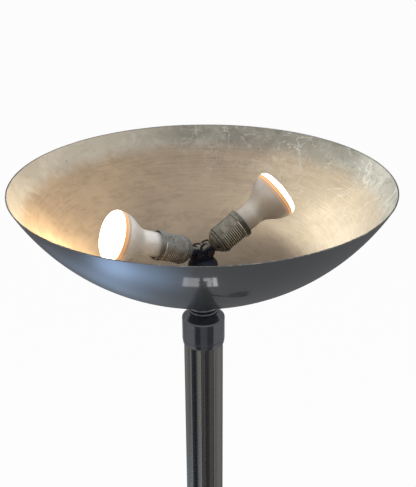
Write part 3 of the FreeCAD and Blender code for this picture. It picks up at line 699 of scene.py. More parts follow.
# a dark finish, used in the cap's grooves and recess, in the barrel's pin holes and on the recess screw
grooveDark = agedShell("aged_groove_dirt", (0.085, 0.08, 0.068), (0.045, 0.042, 0.036), (0.02, 0.018, 0.014))
blackSteel = plainMetal("blackened_steel", (0.035, 0.037, 0.044), (0.075, 0.078, 0.088), 0.32)
wire = brightWire()
amber = glowing("bulb_amber_band", (0.66, 0.36, 0.15), (1.0, 0.56, 0.24), (1.0, 0.50, 0.19), 0.36)
salmon = glowing("bulb_salmon_band", (0.50, 0.32, 0.22), (1.0, 0.55, 0.36), (1.0, 0.52, 0.33), 0.17)
diffuser = glowing("bulb_diffuser_glow", (0.92, 0.90, 0.86), (1.0, 0.96, 0.88), (1.0, 0.93, 0.82), 3.0)
sides = {
    "right": {"threads": rightThreads, "shell": agedShell("aged_holder_right", *zincWarm),
              "barrel": agedShell("aged_barrel_right", *zincWarm, rightThreads),
              # the mouth rings take painted shade on their lower side
              "ring": agedShell("aged_ring_right", *zincWarm, under=(-62, 0.75)),
              # the right bulb's plastic is a darker, warmer copy of the left one's, with less glow: painted
              # shade
              "skin": bulbSkin("bulb_skin_painted_shade", (0.47, 0.43, 0.38), 0.03)},
    "left": {"threads": leftThreads, "shell": agedShell("aged_holder_left", *zincCold),
             "barrel": agedShell("aged_barrel_left", *zincCold, leftThreads),
             "ring": agedShell("aged_ring_left", *zincCold, under=(60, 0.35)),
             "skin": bulbSkin("bulb_skin_grey", (0.70, 0.70, 0.70), 0.11)}}


# Bowl
tubeHole = 5.15 * mm
bowlSizes = Sizes({"turns": 320}, sheet=1.5, seat=24, lip=0.6)


def makeBowl():
    low, high, rim = measured("bowl")
    rimLevel = high - bowlSizes.lip
    seat, sheet = bowlSizes.seat, bowlSizes.sheet
    centre = (rim ** 2 - seat ** 2 + rimLevel ** 2 - low ** 2) / (2 * (rimLevel - low))
    outer = math.hypot(seat, centre - low)
    inner = outer - sheet
    innerRim = math.sqrt(inner ** 2 - (centre - rimLevel) ** 2)
    innerSeat = math.sqrt(inner ** 2 - (centre - low - sheet) ** 2)

    def onSphere(radius, across):
        return across, centre - math.sqrt(radius ** 2 - across ** 2)

    outside = drawn((tubeHole, low), (seat, low), (*onSphere(outer, (seat + rim) / 2), rim, rimLevel),
                    fine=0.55)
    lip = drawn((rim, rimLevel), ((rim + innerRim) / 2, high, innerRim, rimLevel), fine=20.0)[1:]
    inside = drawn((innerRim, rimLevel),
                   (*onSphere(inner, (innerSeat + innerRim) / 2), innerSeat, low + sheet),
                   (tubeHole, low + sheet), fine=0.55)[1:]
    marks = [0] * (len(outside) - 1) + [1] * len(lip) + [2] * len(inside) + [0]
    finishes = [bowlOutside(), bowlLip(), bowlInside(rimLevel, low + sheet)]
    piece = turned("bowl_spun", outside + lip + inside, finishes, "stand", bowlSizes.turns,
                   bands=lambda r, z, index: marks[index], sharp=50.0)
    standsFor(piece, "bowl")
    print("bowl made, sphere radius", round(outer / mm, 2), "mm")


makeBowl()


# Neck and collar
spindleSizes = Sizes(top=14, foot=2, waist=9, head=3, edge=0.5)
plateSizes = Sizes(under=1.6, bevel=1.8, side=3, dome=3.2, drop=1.2)
ringSizes = Sizes(under=1.5, belly=2.2, shrink=1.8, top=4.4, neck=3.4, neckLow=5.0, edge=0.35)
# the shoulder's slope and bend are shares of its width, inward and down
collarSizes = Sizes({"slope": (0.15, 0.72), "bend": (0.04, 0.88), "side": 1.1}, shoulder=9, taper=7,
                    bead=1.1, groove=0.5, grooveTop=0.7, grooveLow=0.2, taperTop=0.1, lip=0.9, play=0.2,
                    depth=31, edge=0.4)


def lathed(node, name, line, rounding, sharper, finish, turns=160):
    piece = turned(name, softened(line, rounding, sharper), [finish], "stand", turns)
    standsFor(piece, node)


def makeNeck():
    low, high, wide = measured("neck_spindle")
    top, foot = spindleSizes.top, low + spindleSizes.foot
    line = drawn((tubeHole, low), (top, low), (top, foot),
                 (spindleSizes.waist, (low + high) / 2, wide, high - spindleSizes.head), (wide, high),
                 (tubeHole, high))
    lathed("neck_spindle", "neck_spindle_turned", line, spindleSizes.edge, 40, neckNickelPaintedLight)

    low, high, wide = measured("cup_plate")
    line = drawn((tubeHole, low), (wide - plateSizes.under, low), (wide, low + plateSizes.bevel),
                 (wide, low + plateSizes.side),
                 (wide - plateSizes.dome, high - plateSizes.drop, top, high), (tubeHole, high))
    lathed("cup_plate", "cup_plate_turned", line, spindleSizes.edge, 20, neckNickelPaintedLight)

    low, high, wide = measured("neck_ring")
    neck = wide - ringSizes.neck
    line = drawn((tubeHole, low), (wide - ringSizes.under, low),
                 (wide, low + ringSizes.belly, wide - ringSizes.shrink, low + ringSizes.top),
                 (neck, low + ringSizes.neckLow), (neck, high), (tubeHole, high))
    lathed("neck_ring", "neck_ring_turned", line, ringSizes.edge, 40, blackNickel)
    print("neck made")


def makeCollar():
    low, high, wide = measured("collar")
    sizes = collarSizes
    socket = measured("upper_column")[2] + sizes.play
    shoulder, taper, deep = sizes.shoulder, low + sizes.taper, low + sizes.depth
    slope, bend = sizes.slope, sizes.bend
    grooved = wide - sizes.groove
    line = drawn((tubeHole, high), (wide - shoulder, high),
                 (wide - shoulder * slope[0], high - shoulder * slope[1]),
                 (wide - shoulder * bend[0], high - shoulder * bend[1],
                  wide, high - shoulder * sizes.side),
                 (wide, taper + sizes.bead), (grooved, taper + sizes.grooveTop),
                 (grooved, taper + sizes.grooveLow), (wide, taper - sizes.taperTop),
                 (socket + sizes.lip, low), (socket, low), (socket, deep), (tubeHole, deep), fine=2.0)
    lathed("collar", "collar_turned", line, sizes.edge, 30, blackNickel, 200)
    print("collar made")


makeNeck()
makeCollar()


# Fluted column in three lengths
columnSizes = Sizes({"flutes": 10, "phase": -4.5, "turns": 480}, bore=22.8, depth=2, sweep=21, ease=0.45,
                    chamfer=0.4)


def fluteRadius(angle, radius):
    apart = math.tau / columnSizes.flutes
    first = math.radians(-90 + columnSizes.phase) + apart / 2
    away = (angle - first + apart / 2) % apart - apart / 2
    reach = radius + columnSizes.sweep - columnSizes.depth
    inside = columnSizes.sweep ** 2 - (reach * math.sin(away)) ** 2
    hollow = reach * math.cos(away) - math.sqrt(inside) if inside > 0 else radius * 2
    ease = columnSizes.ease
    gap = max(ease - abs(hollow - radius), 0.0) / ease
    return min(hollow, radius) - gap * gap * ease / 4


def makeColumn():
    bore, chamfer = columnSizes.bore, columnSizes.chamfer
    for node in ("lower_column", "middle_column", "upper_column"):
        low, high, wide = measured(node)
        line = drawn((bore, low), (wide - chamfer, low), (wide, low + chamfer), (wide, high - chamfer),
                     (wide - chamfer, high), (bore, high))

        def hollowed(angle, level, radius):
            return fluteRadius(angle, wide) - wide if radius > bore + chamfer / 4 else 0.0

        piece = turned(node + "_fluted", line, [columnFinish], "stand", columnSizes.turns, swell=hollowed,
                       sharp=32)
        standsFor(piece, node)
    print("column made")


makeColumn()


# Lampholders and reflector bulbs; every length is taken along a holder from its knuckle pin
holderSizes = Sizes({"turns": 240, "rise": {"right": 32, "left": 22}}, pin=3.05)
# the cap's stepped discs, each by its radius and its height above the rear face, in mm
capSteps = {"discs": ((7.6, 0.0), (8.2, 0.5), (11.8, 5.0), (13.4, 5.2), (14.6, 7.6), (13.8, 7.9),
                      (14.1, 9.0), (16.5, 9.2), (16.9, 11.0), (15.9, 11.2), (16.1, 12.5)),
            "grooves": ((7.7, 9.15), (11.1, 12.65))}
capSizes = Sizes(capSteps, length=15, wall=16.6, hollow=6, side=12.7, edge=0.2, grooveRadius=12.6)
recessSizes = Sizes({"turn": {"right": -94, "left": 84}, "lean": -0.62}, radius=11.6, level=4.8, wide=2.5,
                    floor=-1.8, top=6)
screwSizes = Sizes(wide=1.7, low=-2.1, side=-1.4, crown=1.1, crownSide=-1.0, top=-0.9, slotReach=2.2,
                   slotTop=1, slotHalf=0.28, edge=0.15)
tongueSizes = Sizes({"arc": range(195, 346, 6)}, round=6.3, half=3.7, wide=6, overlap=0.6, edge=0.3,
                    drill=8)


def holderPlace(side):
    # Z along the holder from its knuckle pin, Y along the pin, X down
    joint = joints[side + "_tilt"]
    across = -Vector(joint["axis"]).normalized()
    rise = math.radians(holderSizes.rise[side])
    along = across.cross(Vector((0, 0, 1)))
    upward = along * math.cos(rise) + Vector((0, 0, math.sin(rise)))
    turn = Matrix((across.cross(upward), across, upward)).transposed().to_4x4()
    return Matrix.Translation(Vector(joint["pos_m"])) @ turn


def capCone(side, place, finish, start, wide, high):
    discs = [(radius * mm, start + rise * mm) for radius, rise in capSizes.discs]
    wall, hollow = capSizes.wall, high - capSizes.hollow
    line = drawn((0, start), *discs, (wide, start + capSizes.side), (wide, high), (wall, high),
                 (wall, hollow), (0, hollow))

    # the cap's grooves take the dark finish
    def inGroove(radius, level, index):
        reach = (level - start) / mm
        grooved = any(low < reach < top for low, top in capSizes.grooves)
        return 1 if radius > capSizes.grooveRadius and grooved else 0

    return turned("cone", softened(line, capSizes.edge, 30), [finish, grooveDark], side + "_light",
                  holderSizes.turns, bands=inGroove, place=place)


def capRecess(side, place, start):
    # a recess low on the side that faces the room, and the screw in it
    body, sizes = side + "_light", screwSizes
    spin = math.radians(recessSizes.turn[side])
    outward = Vector((math.cos(spin), math.sin(spin), recessSizes.lean)).normalized()
    seat = Vector((math.cos(spin) * recessSizes.radius, math.sin(spin) * recessSizes.radius,
                   start + recessSizes.level))
    facing = place @ Matrix.Translation(seat) @ outward.to_track_quat("Z", "Y").to_matrix().to_4x4()
    wide, floor, top = recessSizes.wide, recessSizes.floor, recessSizes.top
    drill = turned("drill", drawn((0, floor), (wide, floor), (wide, top), (0, top)), [grooveDark], body, 40,
                   place=facing)
    line = drawn((0, sizes.low), (sizes.wide, sizes.low), (sizes.wide, sizes.side),
                 (sizes.crown, sizes.crownSide, 0, sizes.top))
    head = turned("screw", softened(line, sizes.edge), [grooveDark], body, 32, place=facing)
    reach = sizes.slotReach
    outline = [(-reach, sizes.side), (reach, sizes.side), (reach, sizes.slotTop),
               (-reach, sizes.slotTop)]
    slot = extruded("slot", outline, -sizes.slotHalf, sizes.slotHalf, [grooveDark], body, place=facing)
    return drill, carved(head, [slot])


def capTongue(side, place, finish, start):
    body, wide, end = side + "_light", tongueSizes.wide, start + tongueSizes.overlap
    outline = [(-wide, end), (-wide, 0.0), *circle(tongueSizes.round, tongueSizes.arc), (wide, 0.0),
               (wide, end)]
    tongue = extruded("tongue", outline, -tongueSizes.half, tongueSizes.half, [finish], body,
                      tongueSizes.edge, place=place)
    drill = tongueSizes.drill
    hole = extruded("hole", circle(holderSizes.pin), -drill, drill, [finish], body, place=place)
    return carved(tongue, [hole])


def makeCap(side, place, finish):
    high, wide = measured(side + "_holder_cap", place)[1:]
    start = high - capSizes.length
    cone = capCone(side, place, finish, start, wide, high)
    drill, head = capRecess(side, place, start)
    pieces = [carved(cone, [drill]), head, capTongue(side, place, finish, start)]
    standsFor(joined(side + "_cap_aged", pieces, side + "_light"), side + "_holder_cap")


barrelSizes = Sizes({"pinHoles": ((158, 6.8 * mm), (143, 8.2 * mm), (115, 10.3 * mm))}, wall=1.2,
                    grain=0.22, skin=0.25, threaded=0.1, ease=0.2, chamfer=0.3, top=0.1, hole=0.95, drill=1,
                    beadLow=0.1, beadMiddle=0.5, beadTop=0.9, beadProud=0.5)
# both fades are cosines of the angle from the middle, where the change starts and is complete
mouthSizes = Sizes({"turns": 384, "notches": 36, "notchTurn": 1.1, "notchFade": (0.2, 0.5),
                    "wireFade": (0.25, 0.45)}, bore=17, foot=0.9, footRise=0.7, side=1.4, bend=0.4, top=1.0,
                   edge=0.2, grain=1.0, wire=0.6, sunk=0.3, hidden=1.2, notch=0.5)


def thread(threads):
    # thread lines fade round the barrel and towards its cap
    middle = math.radians(threads["middle"])

    def swell(angle, level, radius):
        strength = smooth(math.cos(angle - middle), *threads["facing"]) * smooth(level, *threads["from"])
        edge = 1 - smooth(level, *sorted(threads["until"]))
        wave = math.cos(math.tau * level / threads["pitch"] - angle)
        return threads["depth"] * strength * edge * (0.5 * wave - 0.5)
    return swell


def pinDrills(side, place, high, wide):
    # three small holes in the left barrel, each by its turn and its distance below the mouth
    drills = []
    bore, hole, end = wide - barrelSizes.wall, barrelSizes.hole, wide + barrelSizes.drill
    line = drawn((0, bore), (hole, bore), (hole, end), (0, end))
    for spin, back in barrelSizes.pinHoles:
        out = Matrix.Rotation(math.radians(spin), 4, "Z") @ Matrix.Rotation(math.pi / 2, 4, "Y")
        drills.append(turned("drill", line, [grooveDark], side + "_light", 16,
                             place=place @ Matrix.Translation((0, 0, high - back)) @ out))
    return drills


def makeBarrel(side, place, look):
    low, high, wide = measured(side + "_holder_barrel", place)
    body, sizes = side + "_light", barrelSizes
    bore = wide - sizes.wall
    line = drawn((bore, low), (wide - sizes.ease, low), (wide, low + sizes.chamfer),
                 (wide, high - sizes.top), (bore, high))
    fine = [spot for spot in divided(line, sizes.grain)
            if spot.x > wide - sizes.skin or spot in line]
    cut = thread(look["threads"])

    def shaped(angle, level, radius):
        return cut(angle, level, radius) if radius > wide - sizes.threaded else 0.0

    barrel = turned("barrel", fine, [look["barrel"]], body, holderSizes.turns, place=place,
                    swell=shaped)
    if side == "left":
        barrel = carved(barrel, pinDrills(side, place, high, wide))
    seat = wide - sizes.ease
    line = drawn((seat, low + sizes.beadLow),
                 (wide + sizes.beadProud, low + sizes.beadMiddle, seat, low + sizes.beadTop), fine=20)
    bead = turned("bead", line, [look["shell"]], body, 120, place=place)
    piece = joined(side + "_barrel_aged", [barrel, bead], body)
    standsFor(piece, side + "_holder_barrel")


def makeMouth(side, place, look):
    low, high, wide = measured(side + "_holder_ring", place)
    body, sizes = side + "_light", mouthSizes
    bore, bend = sizes.bore, sizes.bend
    line = drawn((bore, low), (wide - sizes.foot, low), (wide, low + sizes.footRise),
                 (wide, high - sizes.side), (wide - bend, high - bend, wide - sizes.top, high),
                 (bore + bend, high), (bore, high - bend))

    def notched(angle, level, radius):
        # the right ring is notched on its lower front
        if side == "left" or radius <= wide - sizes.sunk:
            return 0.0
        wave = 0.5 + 0.5 * math.cos(angle * sizes.notches)
        return -sizes.notch * wave * smooth(math.cos(angle + sizes.notchTurn), *sizes.notchFade)

    def lowerHalf(angle, level, radius):
        # the bright wire shows on the lower half and sinks under the ring above
        below = math.radians(look["threads"]["middle"])
        return -sizes.hidden * (1 - smooth(math.cos(angle - below), *sizes.wireFade))

    line = divided(softened(line, sizes.edge, 30), sizes.grain)
    ring = turned("mouth", line, [look["ring"]], body, sizes.turns, place=place, swell=notched)
    seat, band = wide - sizes.sunk, sizes.wire
    line = drawn((seat, low), (seat + band, low + band, seat, low + 2 * band), fine=20)
    lead = turned("lead", line, [wire], body, 160, place=place, swell=lowerHalf)
    standsFor(joined(side + "_mouth_ring", [ring, lead], body), side + "_holder_ring")


bulbSizes = Sizes({"turns": 192, "lean": 0.1}, neck=15.2, neckLength=20, band=6.2, foot=1.4, footRise=2,
                  amber=2.8, grey=1.0, salmon=2.3)
sweepSizes = Sizes({"steps": 48}, neckPull=13, neckGrowth=0.4, rimPull=14, rimShrink=4.0, rimGap=0.7)
domeSizes = Sizes(edge=0.3, skirt=1.5, side=2.6, bend=1.9, bendRise=3.9, crownInset=7.0, crownRise=2.2)


def makeReflector(side, place, skin):
    low, high, wide = measured(side + "_bulb_body", place)
    neck, flare = bulbSizes.neck, low + bulbSizes.neckLength
    shoulder = high - bulbSizes.band
    # one S-shaped sweep from the neck to the widest place
    start = Vector((neck, flare))
    first = Vector((neck + sweepSizes.neckGrowth, flare + sweepSizes.neckPull))
    second = Vector((wide - sweepSizes.rimShrink, shoulder - sweepSizes.rimPull))
    end = Vector((wide - sweepSizes.rimGap, shoulder))
    sweep = []
    for step in range(1, sweepSizes.steps + 1):
        t = step / sweepSizes.steps
        sweep.append(start * (1 - t) ** 3 + first * 3 * t * (1 - t) ** 2 + second * 3 * t * t * (1 - t)
                     + end * t ** 3)
    line = drawn((0, low), (neck - bulbSizes.foot, low), (neck, low + bulbSizes.footRise), (neck, flare))
    amberEnd = bulbSizes.amber
    greyEnd = amberEnd + bulbSizes.grey
    salmonEnd = greyEnd + bulbSizes.salmon
    line += sweep + [Vector((wide - bulbSizes.lean * reach, high - reach))
                     for reach in (salmonEnd, greyEnd, amberEnd)]
    line += [Vector((wide, high)), Vector((0, high))]

    def banded(radius, level, index):
        depth = high - level
        if depth < amberEnd:
            return 1
        return 2 if greyEnd < depth < salmonEnd else 0

    body = turned(side + "_bulb_reflector", line, [skin, amber, salmon], side + "_light", bulbSizes.turns,
                  bands=banded, place=place, sharp=60)
    settled(body)
    standsFor(body, side + "_bulb_body")


def makeDome(side, place):
    low, high, wide = measured(side + "_bulb_diffuser", place)
    rise = domeSizes.crownRise
    crown, top = wide - domeSizes.crownInset, high - rise
    dip = (crown ** 2 + rise ** 2) / (2 * rise)
    half = crown / 2
    skirt, brow = low + domeSizes.skirt, low + domeSizes.side
    edge, bend = domeSizes.edge, domeSizes.bend
    line = drawn((0, low), (wide - edge, low), (wide, low + edge), (wide, skirt), (wide, brow),
                 (wide - bend, brow + domeSizes.bendRise, crown, top),
                 (half, high - dip + math.sqrt(dip ** 2 - half ** 2), 0, high), fine=2.0)

    def skirted(radius, level, index):
        return 1 if radius > wide - edge and level < skirt else 0

    dome = turned(side + "_diffuser_dome", line, [diffuser, amber], side + "_light", bulbSizes.turns,
                  bands=skirted, place=place, sharp=60)
    settled(dome)
    standsFor(dome, side + "_bulb_diffuser")


def makeHolders():
    for side, look in sides.items():
        place = holderPlace(side)
        makeCap(side, place, look["shell"])
        makeBarrel(side, place, look)
        makeMouth(side, place, look)
        makeReflector(side, place, look["skin"])
        makeDome(side, place)
        print(side, "lampholder and bulb made")


makeHolders()


# Carrier that holds both knuckles
carrierSizes = Sizes({"rightArc": np.linspace(-44, 165, 22), "leftArc": np.linspace(15, 224, 22)},
                     radius=19, neck=13, foot=17, footSide=4, lobe=7, belly=0.6, bellyRise=7.4,
                     bellyTop=10, waistDrop=8, side=3, bend=2.2, bendRise=2, neckRise=5, edge=0.5,
                     slotHalf=4.0, cheek=4.5, cheekEdge=0.6, cheekFoot=1, notch=1.2, notchDrop=2, seam=0.5,
                     seamDeep=1.2, webFoot=1.5, webReach=0.5, webEdge=0.3, webDrop=1.2, tongueRound=0.7,
                     far=30)


def carrierPost(place, low, level, waist):
    sizes = carrierSizes
    radius, neck, foot = sizes.radius, sizes.neck, sizes.foot
    top = waist + sizes.neckRise
    line = drawn((tubeHole, low), (foot, low), (foot, low + sizes.footSide),
                 (radius - sizes.belly, low + sizes.bellyRise, radius, low + sizes.bellyTop),
                 (radius, waist - sizes.side),
                 (radius - sizes.bend, waist + sizes.bendRise, neck, top), (tubeHole, top))
    post = turned("post", softened(line, sizes.edge, 30), [enamel], "stand", 160, place=place)
    half, start = sizes.seam, low + sizes.side
    seam = extruded("seam", [(-half, start), (half, start), (half, level), (-half, level)],
                    -sizes.far, -radius + sizes.seamDeep, [enamel], "stand")
    return carved(post, [seam])


def makeCarrier():
    sizes = carrierSizes
    right, left = Vector(joints["right_tilt"]["pos_m"]), Vector(joints["left_tilt"]["pos_m"])
    place = Matrix.Rotation(math.atan2((right - left).y, (right - left).x), 4, "Z")
    low = measured("lamp_carrier")[0]
    level, lobe, neck = right.z, sizes.lobe, sizes.neck
    pins = [place.inverted() @ right, place.inverted() @ left]
    centres = [(pin.x, pin.z) for pin in pins]
    middle = (pins[0].x + pins[1].x) / 2
    waist = level - lobe - sizes.waistDrop
    notch, notchLevel = sizes.notch, level - sizes.notchDrop
    reach = neck - sizes.cheekFoot
    cheekLine = [(middle - reach, waist), (middle + reach, waist),
                 *circle(lobe, sizes.rightArc, centres[0]),
                 (middle + notch, notchLevel), (middle - notch, notchLevel),
                 *circle(lobe, sizes.leftArc, centres[1])]
    pieces = [carrierPost(place, low, level, waist)]
    slot, outer, far = sizes.slotHalf, sizes.slotHalf + sizes.cheek, sizes.far
    for near, end in ((-outer, -slot), (slot, outer)):
        cheek = extruded("cheek", cheekLine, near, end, [enamel], "stand", sizes.cheekEdge, place=place)
        holes = [extruded("hole", circle(holderSizes.pin, middle=centre), -far, far, [enamel], "stand",
                          place=place) for centre in centres]
        pieces.append(carved(cheek, holes))
    floor = level - (lobe - sizes.tongueRound) - sizes.webDrop
    foot, top = neck - sizes.webFoot, neck - sizes.webReach
    web = [(middle - foot, waist), (middle + foot, waist), (middle + top, floor), (middle - top, floor)]
    deep = slot + sizes.webReach
    pieces.append(extruded("web", web, -deep, deep, [enamel], "stand", sizes.webEdge, place=place))
    standsFor(joined("lamp_carrier_enamelled", pieces, "stand"), "lamp_carrier")
    print("carrier made")


makeCarrier()


# Shade of the reading light
# bend is a share of the flare's length, hem and innerHem of the bead's width
shadeSizes = Sizes({"bend": 0.37, "hem": 0.6, "innerHem": 0.4, "turns": 200}, cup=21.5, cupLength=34,
                   sheet=1.2, bead=0.9, edge=2, edgeBend=0.6, mouthRise=2.2, innerLift=0.3, innerEdge=2.5,
                   innerInset=1, switch=16, hole=3.4, drill=40)


def makeShade():
    pivot, axis = Vector(joints["head_tilt"]["pos_m"]), Vector(joints["head_tilt"]["axis"])
    place = Matrix.Translation(pivot) @ Matrix.Rotation(math.atan2(axis.x, -axis.y), 4, "Z")
    low, high, wide = measured("reading_shade", place)
    sizes = shadeSizes
    cup, sheet, bead, edge = sizes.cup, sizes.sheet, sizes.bead, sizes.edge
    cupLow, mouth, lift = high - sizes.cupLength, low + sizes.mouthRise, sizes.innerLift
    bend = cupLow - (cupLow - low) * sizes.bend
    middle, hem = (cup + wide) / 2, low + bead
    inner = cup - sheet
    outside = drawn((0, high), (cup - edge, high),
                    (cup - sizes.edgeBend, high - sizes.edgeBend, cup, high - edge),
                    (cup, cupLow), (middle, bend, wide - bead * sizes.hem, mouth), (wide, hem), fine=1.5)
    inside = drawn((wide - 2 * bead, hem), (wide - sheet - bead * sizes.innerHem, mouth),
                   (middle - sheet, bend + lift, inner, cupLow + lift), (inner, high - sizes.innerEdge),
                   (inner - sizes.innerInset, high - sheet), (0, high - sheet), fine=1.5)
    rolled = drawn((wide, hem), (wide - bead, low, wide - 2 * bead, hem), fine=15)[1:-1]
    start = len(outside) - 1 + len(rolled)
    shell = turned("reading_shade_spun", outside + rolled + inside, [shadeMetal, shadeWhite], "head",
                   sizes.turns, place=place, bands=lambda r, z, index: 1 if index > start else 0, sharp=40)
    hole = circle(sizes.hole, middle=(0, high - sizes.switch))
    shell = carved(shell, [extruded("hole", hole, -sizes.drill, 0, [shadeMetal], "head", place=place)])
    standsFor(shell, "reading_shade")
    print("reading shade made")


makeShade()


# The other nodes keep their shape and get a finish by their slot
slotFinish = {"dark_nickel": coverFinish, "cast_iron": iron, "felt": felt, "steel": zincSteel,
              "black_rubber": blackRubber, "column_metal": columnFinish, "polished_nickel": blackNickel,
              "alloy": turnedAlloy, "black_plastic": blackPlastic, "bowl_metal": blackNickel,
              "black_carrier": enamel, "frosted_glass": globe, "ceramic": ceramic,
              "aged_metal": sides["left"]["shell"], "brass": brassCap, "bulb_plastic": sides["left"]["skin"],
              "diffuser": diffuser}


def dressNodes():
    for name, piece in nodes.items():
        for slot in piece.material_slots:
            base = slot.material.name.split(".")[0]
            if base in slotFinish:
                slot.material = blackSteel if name.endswith("tilt_pin") else slotFinish[base]
    print("nodes dressed")


dressNodes()


# Floor, light and camera
studio = {"floor": 30.0, "floorTone": 0.86, "toneRange": 0.02, "whiteShare": 0.93, "worldLevel": 0.74,
          "overheadSize": 2.6, "overheadPlace": (-0.5, -0.4, 4.2), "overheadPower": 30.0,
          "bulbAhead": 14 * mm, "bulbSoftness": 9 * mm, "bulbPower": {"left": 1.55, "right": 0.66},
          "bulbColour": {"left": (1.0, 0.77, 0.47), "right": (0.95, 1.02, 0.98)}}
# each spot: x, y, half width, half depth and strength
coolCard = {"low": (-1.38, -0.60), "high": (-0.10, 2.05), "level": 0.02, "colour": (0.47, 0.68, 1.0),
            "spots": ((-0.86, 0.14, 0.23, 0.38, 10.2), (-0.76, 0.95, 0.32, 0.62, 3.8),
                      (-0.50, -0.05, 0.30, 0.40, 3.8), (-1.20, 1.60, 0.30, 0.50, 0.9))}
darkWall = {"radius": 0.75, "low": 0.0, "high": 1.34, "first": -48.0, "last": 56.0, "steps": 40,
            "tones": ((0.0, (0.025, 0.04, 0.08)), (0.29, (0.025, 0.04, 0.08)), (0.33, (0.46, 0.46, 0.46)),
                      (0.64, (0.40, 0.40, 0.40)), (0.68, (0.13, 0.11, 0.15)), (1.0, (0.15, 0.13, 0.15)))}
# each strip: x, width and radiance
baseGlow = {"level": 31 * mm, "deep": 0.27, "colour": (1, 0.98, 0.95),
            "strips": ((-0.104, 0.148, 4.6), (0.040, 0.074, 5.6), (0.106, 0.040, 8.4))}


def lampAt(name, size, radiance, colour, place, deep=0.0):
    # a round light of a known radiance, or an oblong one where it has a depth, facing its own -Z
    data = bpy.data.lights.new(name, "AREA")
    data.shape = "RECTANGLE" if deep else "DISK"
    data.size = size
    area = math.pi * size * size / 4
    if deep:
        data.size_y = deep
        area = size * deep
    data.color = colour
    data.energy = radiance * math.pi * area
    lamp = inScene(name, data, place)
    lamp.visible_camera = False
    return lamp


def stagedMesh(name, points, faces, material):
    mesh = bpy.data.meshes.new(name)
    mesh.from_pydata(points, [], faces)
    mesh.materials.append(material)
    piece = inScene(name, mesh)
    return piece


def reflectedOnly(piece):
    piece.visible_camera = False
    piece.visible_diffuse = False
    piece.visible_shadow = False


def seenDirectly(f):
    camera, glossy, through = [f.node("ShaderNodeLightPath", out=ray)
                               for ray in ("Is Camera Ray", "Is Glossy Ray", "Is Transmission Ray")]
    return camera.maths("ADD", camera, glossy + through, clamp=True)


def makeFloor():
    f, spot = begun("pale_studio_floor")
    tone = studio["floorTone"]
    dark, pale = [(level, level, level) for level in (tone, tone + studio["toneRange"])]
    paper = f.node("ShaderNodeBsdfDiffuse", values={"Color": f.blend(f.noise(spot, 3.0, 3.0), dark, pale)})
    white = f.node("ShaderNodeEmission", values={"Color": (1, 1, 1, 1), "Strength": 1.0})
    share = seenDirectly(f) * studio["whiteShare"]
    f.output(f.node("ShaderNodeMixShader", values={0: share, 1: paper, 2: white}))
    half = studio["floor"] / 2
    stagedMesh("studio_floor", [(-half, -half, 0), (half, -half, 0), (half, half, 0), (-half, half, 0)],
               [(0, 1, 2, 3)], f.material)


def makeCoolCard():
    # a soft cool patch that shows only in what mirrors it
    f, spot = begun("cool_window_light")
    axes = f.axes(spot)
    glow = 0.0
    for x, y, wide, deep, strength in coolCard["spots"]:
        across, along = (axes[0] - x) / wide, (axes[1] - y) / deep
        falloff = 0 - across * across - along * along
        glow = falloff.maths("EXPONENT", falloff) * strength + glow
    light = f.node("ShaderNodeEmission", values={"Color": rgba(coolCard["colour"]), "Strength": glow})
    clear = f.node("ShaderNodeBsdfTransparent", values={0: (1, 1, 1, 1)})
    f.output(f.node("ShaderNodeAddShader", values={0: light, 1: clear}))
    (x0, y0), (x1, y1), z = coolCard["low"], coolCard["high"], coolCard["level"]
    corners = [(x0, y0, z), (x1, y0, z), (x1, y1, z), (x0, y1, z)]
    reflectedOnly(stagedMesh("cool_window_card", corners, [(0, 1, 2, 3)], f.material))


def makeDarkWall():
    # dark flags in front, for the bands that polished tubes show
    f, spot = begun("dark_flags")
    axes = f.axes(spot)
    first, last, count = darkWall["first"], darkWall["last"], darkWall["steps"]
    angle = axes[0].maths("ARCTAN2", axes[0], 0 - axes[1]) * math.degrees(1)
    tones = f.ramp((angle - first) / (last - first), *darkWall["tones"])
    f.output(f.node("ShaderNodeEmission", values={"Color": tones, "Strength": 1.0}))
    points = []
    for step in range(count + 1):
        turn = math.radians(first + (last - first) * step / count)
        for level in (darkWall["low"], darkWall["high"]):
            points.append((darkWall["radius"] * math.sin(turn), -darkWall["radius"] * math.cos(turn), level))
    faces = [(2 * step, 2 * step + 2, 2 * step + 3, 2 * step + 1) for step in range(count)]
    reflectedOnly(stagedMesh("dark_flags", points, faces, f.material))


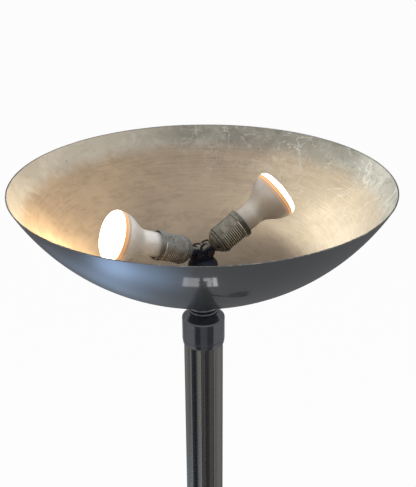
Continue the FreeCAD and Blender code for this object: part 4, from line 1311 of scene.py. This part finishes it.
def makeLight():
    world = bpy.data.worlds.new("studio")
    world.use_nodes = True
    bpy.context.scene.world = world
    f = Finish("studio", world.node_tree)
    level = studio["worldLevel"] + seenDirectly(f) * (1 - studio["worldLevel"])
    sky = f.node("ShaderNodeBackground", values={"Color": (1, 1, 1, 1), "Strength": level})
    f.node("ShaderNodeOutputWorld", values={0: sky})
    size = studio["overheadSize"]
    radiance = studio["overheadPower"] / (math.pi * math.pi * size * size / 4)
    above = Matrix.Translation(studio["overheadPlace"])
    lampAt("overhead", size, radiance, (1, 1, 1), above).visible_glossy = False
    upward = Matrix.Rotation(math.pi, 4, "X")
    for index, (x, wide, radiance) in enumerate(baseGlow["strips"]):
        place = Matrix.Translation((x, 0, baseGlow["level"])) @ upward
        strip = lampAt("base_glow_%d" % index, wide, radiance, baseGlow["colour"], place, baseGlow["deep"])
        strip.visible_diffuse = False


def makeBulbLight(side):
    # a lit bulb sends its light out ahead and to the sides
    place = holderPlace(side)
    top = measured(side + "_bulb_diffuser", place)[1]
    data = bpy.data.lights.new(side + "_bulb_light", "POINT")
    data.shadow_soft_size = studio["bulbSoftness"]
    data.color = studio["bulbColour"][side]
    data.energy = studio["bulbPower"][side]
    lamp = inScene(side + "_bulb_light", data, place @ Matrix.Translation((0, 0, top + studio["bulbAhead"])))
    lamp.visible_camera = False
    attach(lamp, side + "_light")


# angles in degrees, focal length and frame height in the photograph's pixels
view = {"place": (0.0066, -0.9774, 2.1175), "down": 24.79, "roll": -0.34, "focal": 855.9, "frameHeight": 487,
        "sensor": 36.0}


def makeCamera():
    data = bpy.data.cameras.new("camera")
    data.sensor_width = view["sensor"]
    data.lens = view["focal"] * view["sensor"] / view["frameHeight"]
    tilt = Matrix.Rotation(math.radians(90 - view["down"]), 4, "X")
    roll = Matrix.Rotation(math.radians(view["roll"]), 4, "Z")
    camera = inScene("camera", data, Matrix.Translation(view["place"]) @ tilt @ roll)
    bpy.context.scene.camera = camera
    bpy.context.scene.view_settings.view_transform = "Standard"


makeFloor()
makeCoolCard()
makeDarkWall()
makeLight()
makeBulbLight("right")
makeBulbLight("left")
makeCamera()
print("floor, light and camera made")
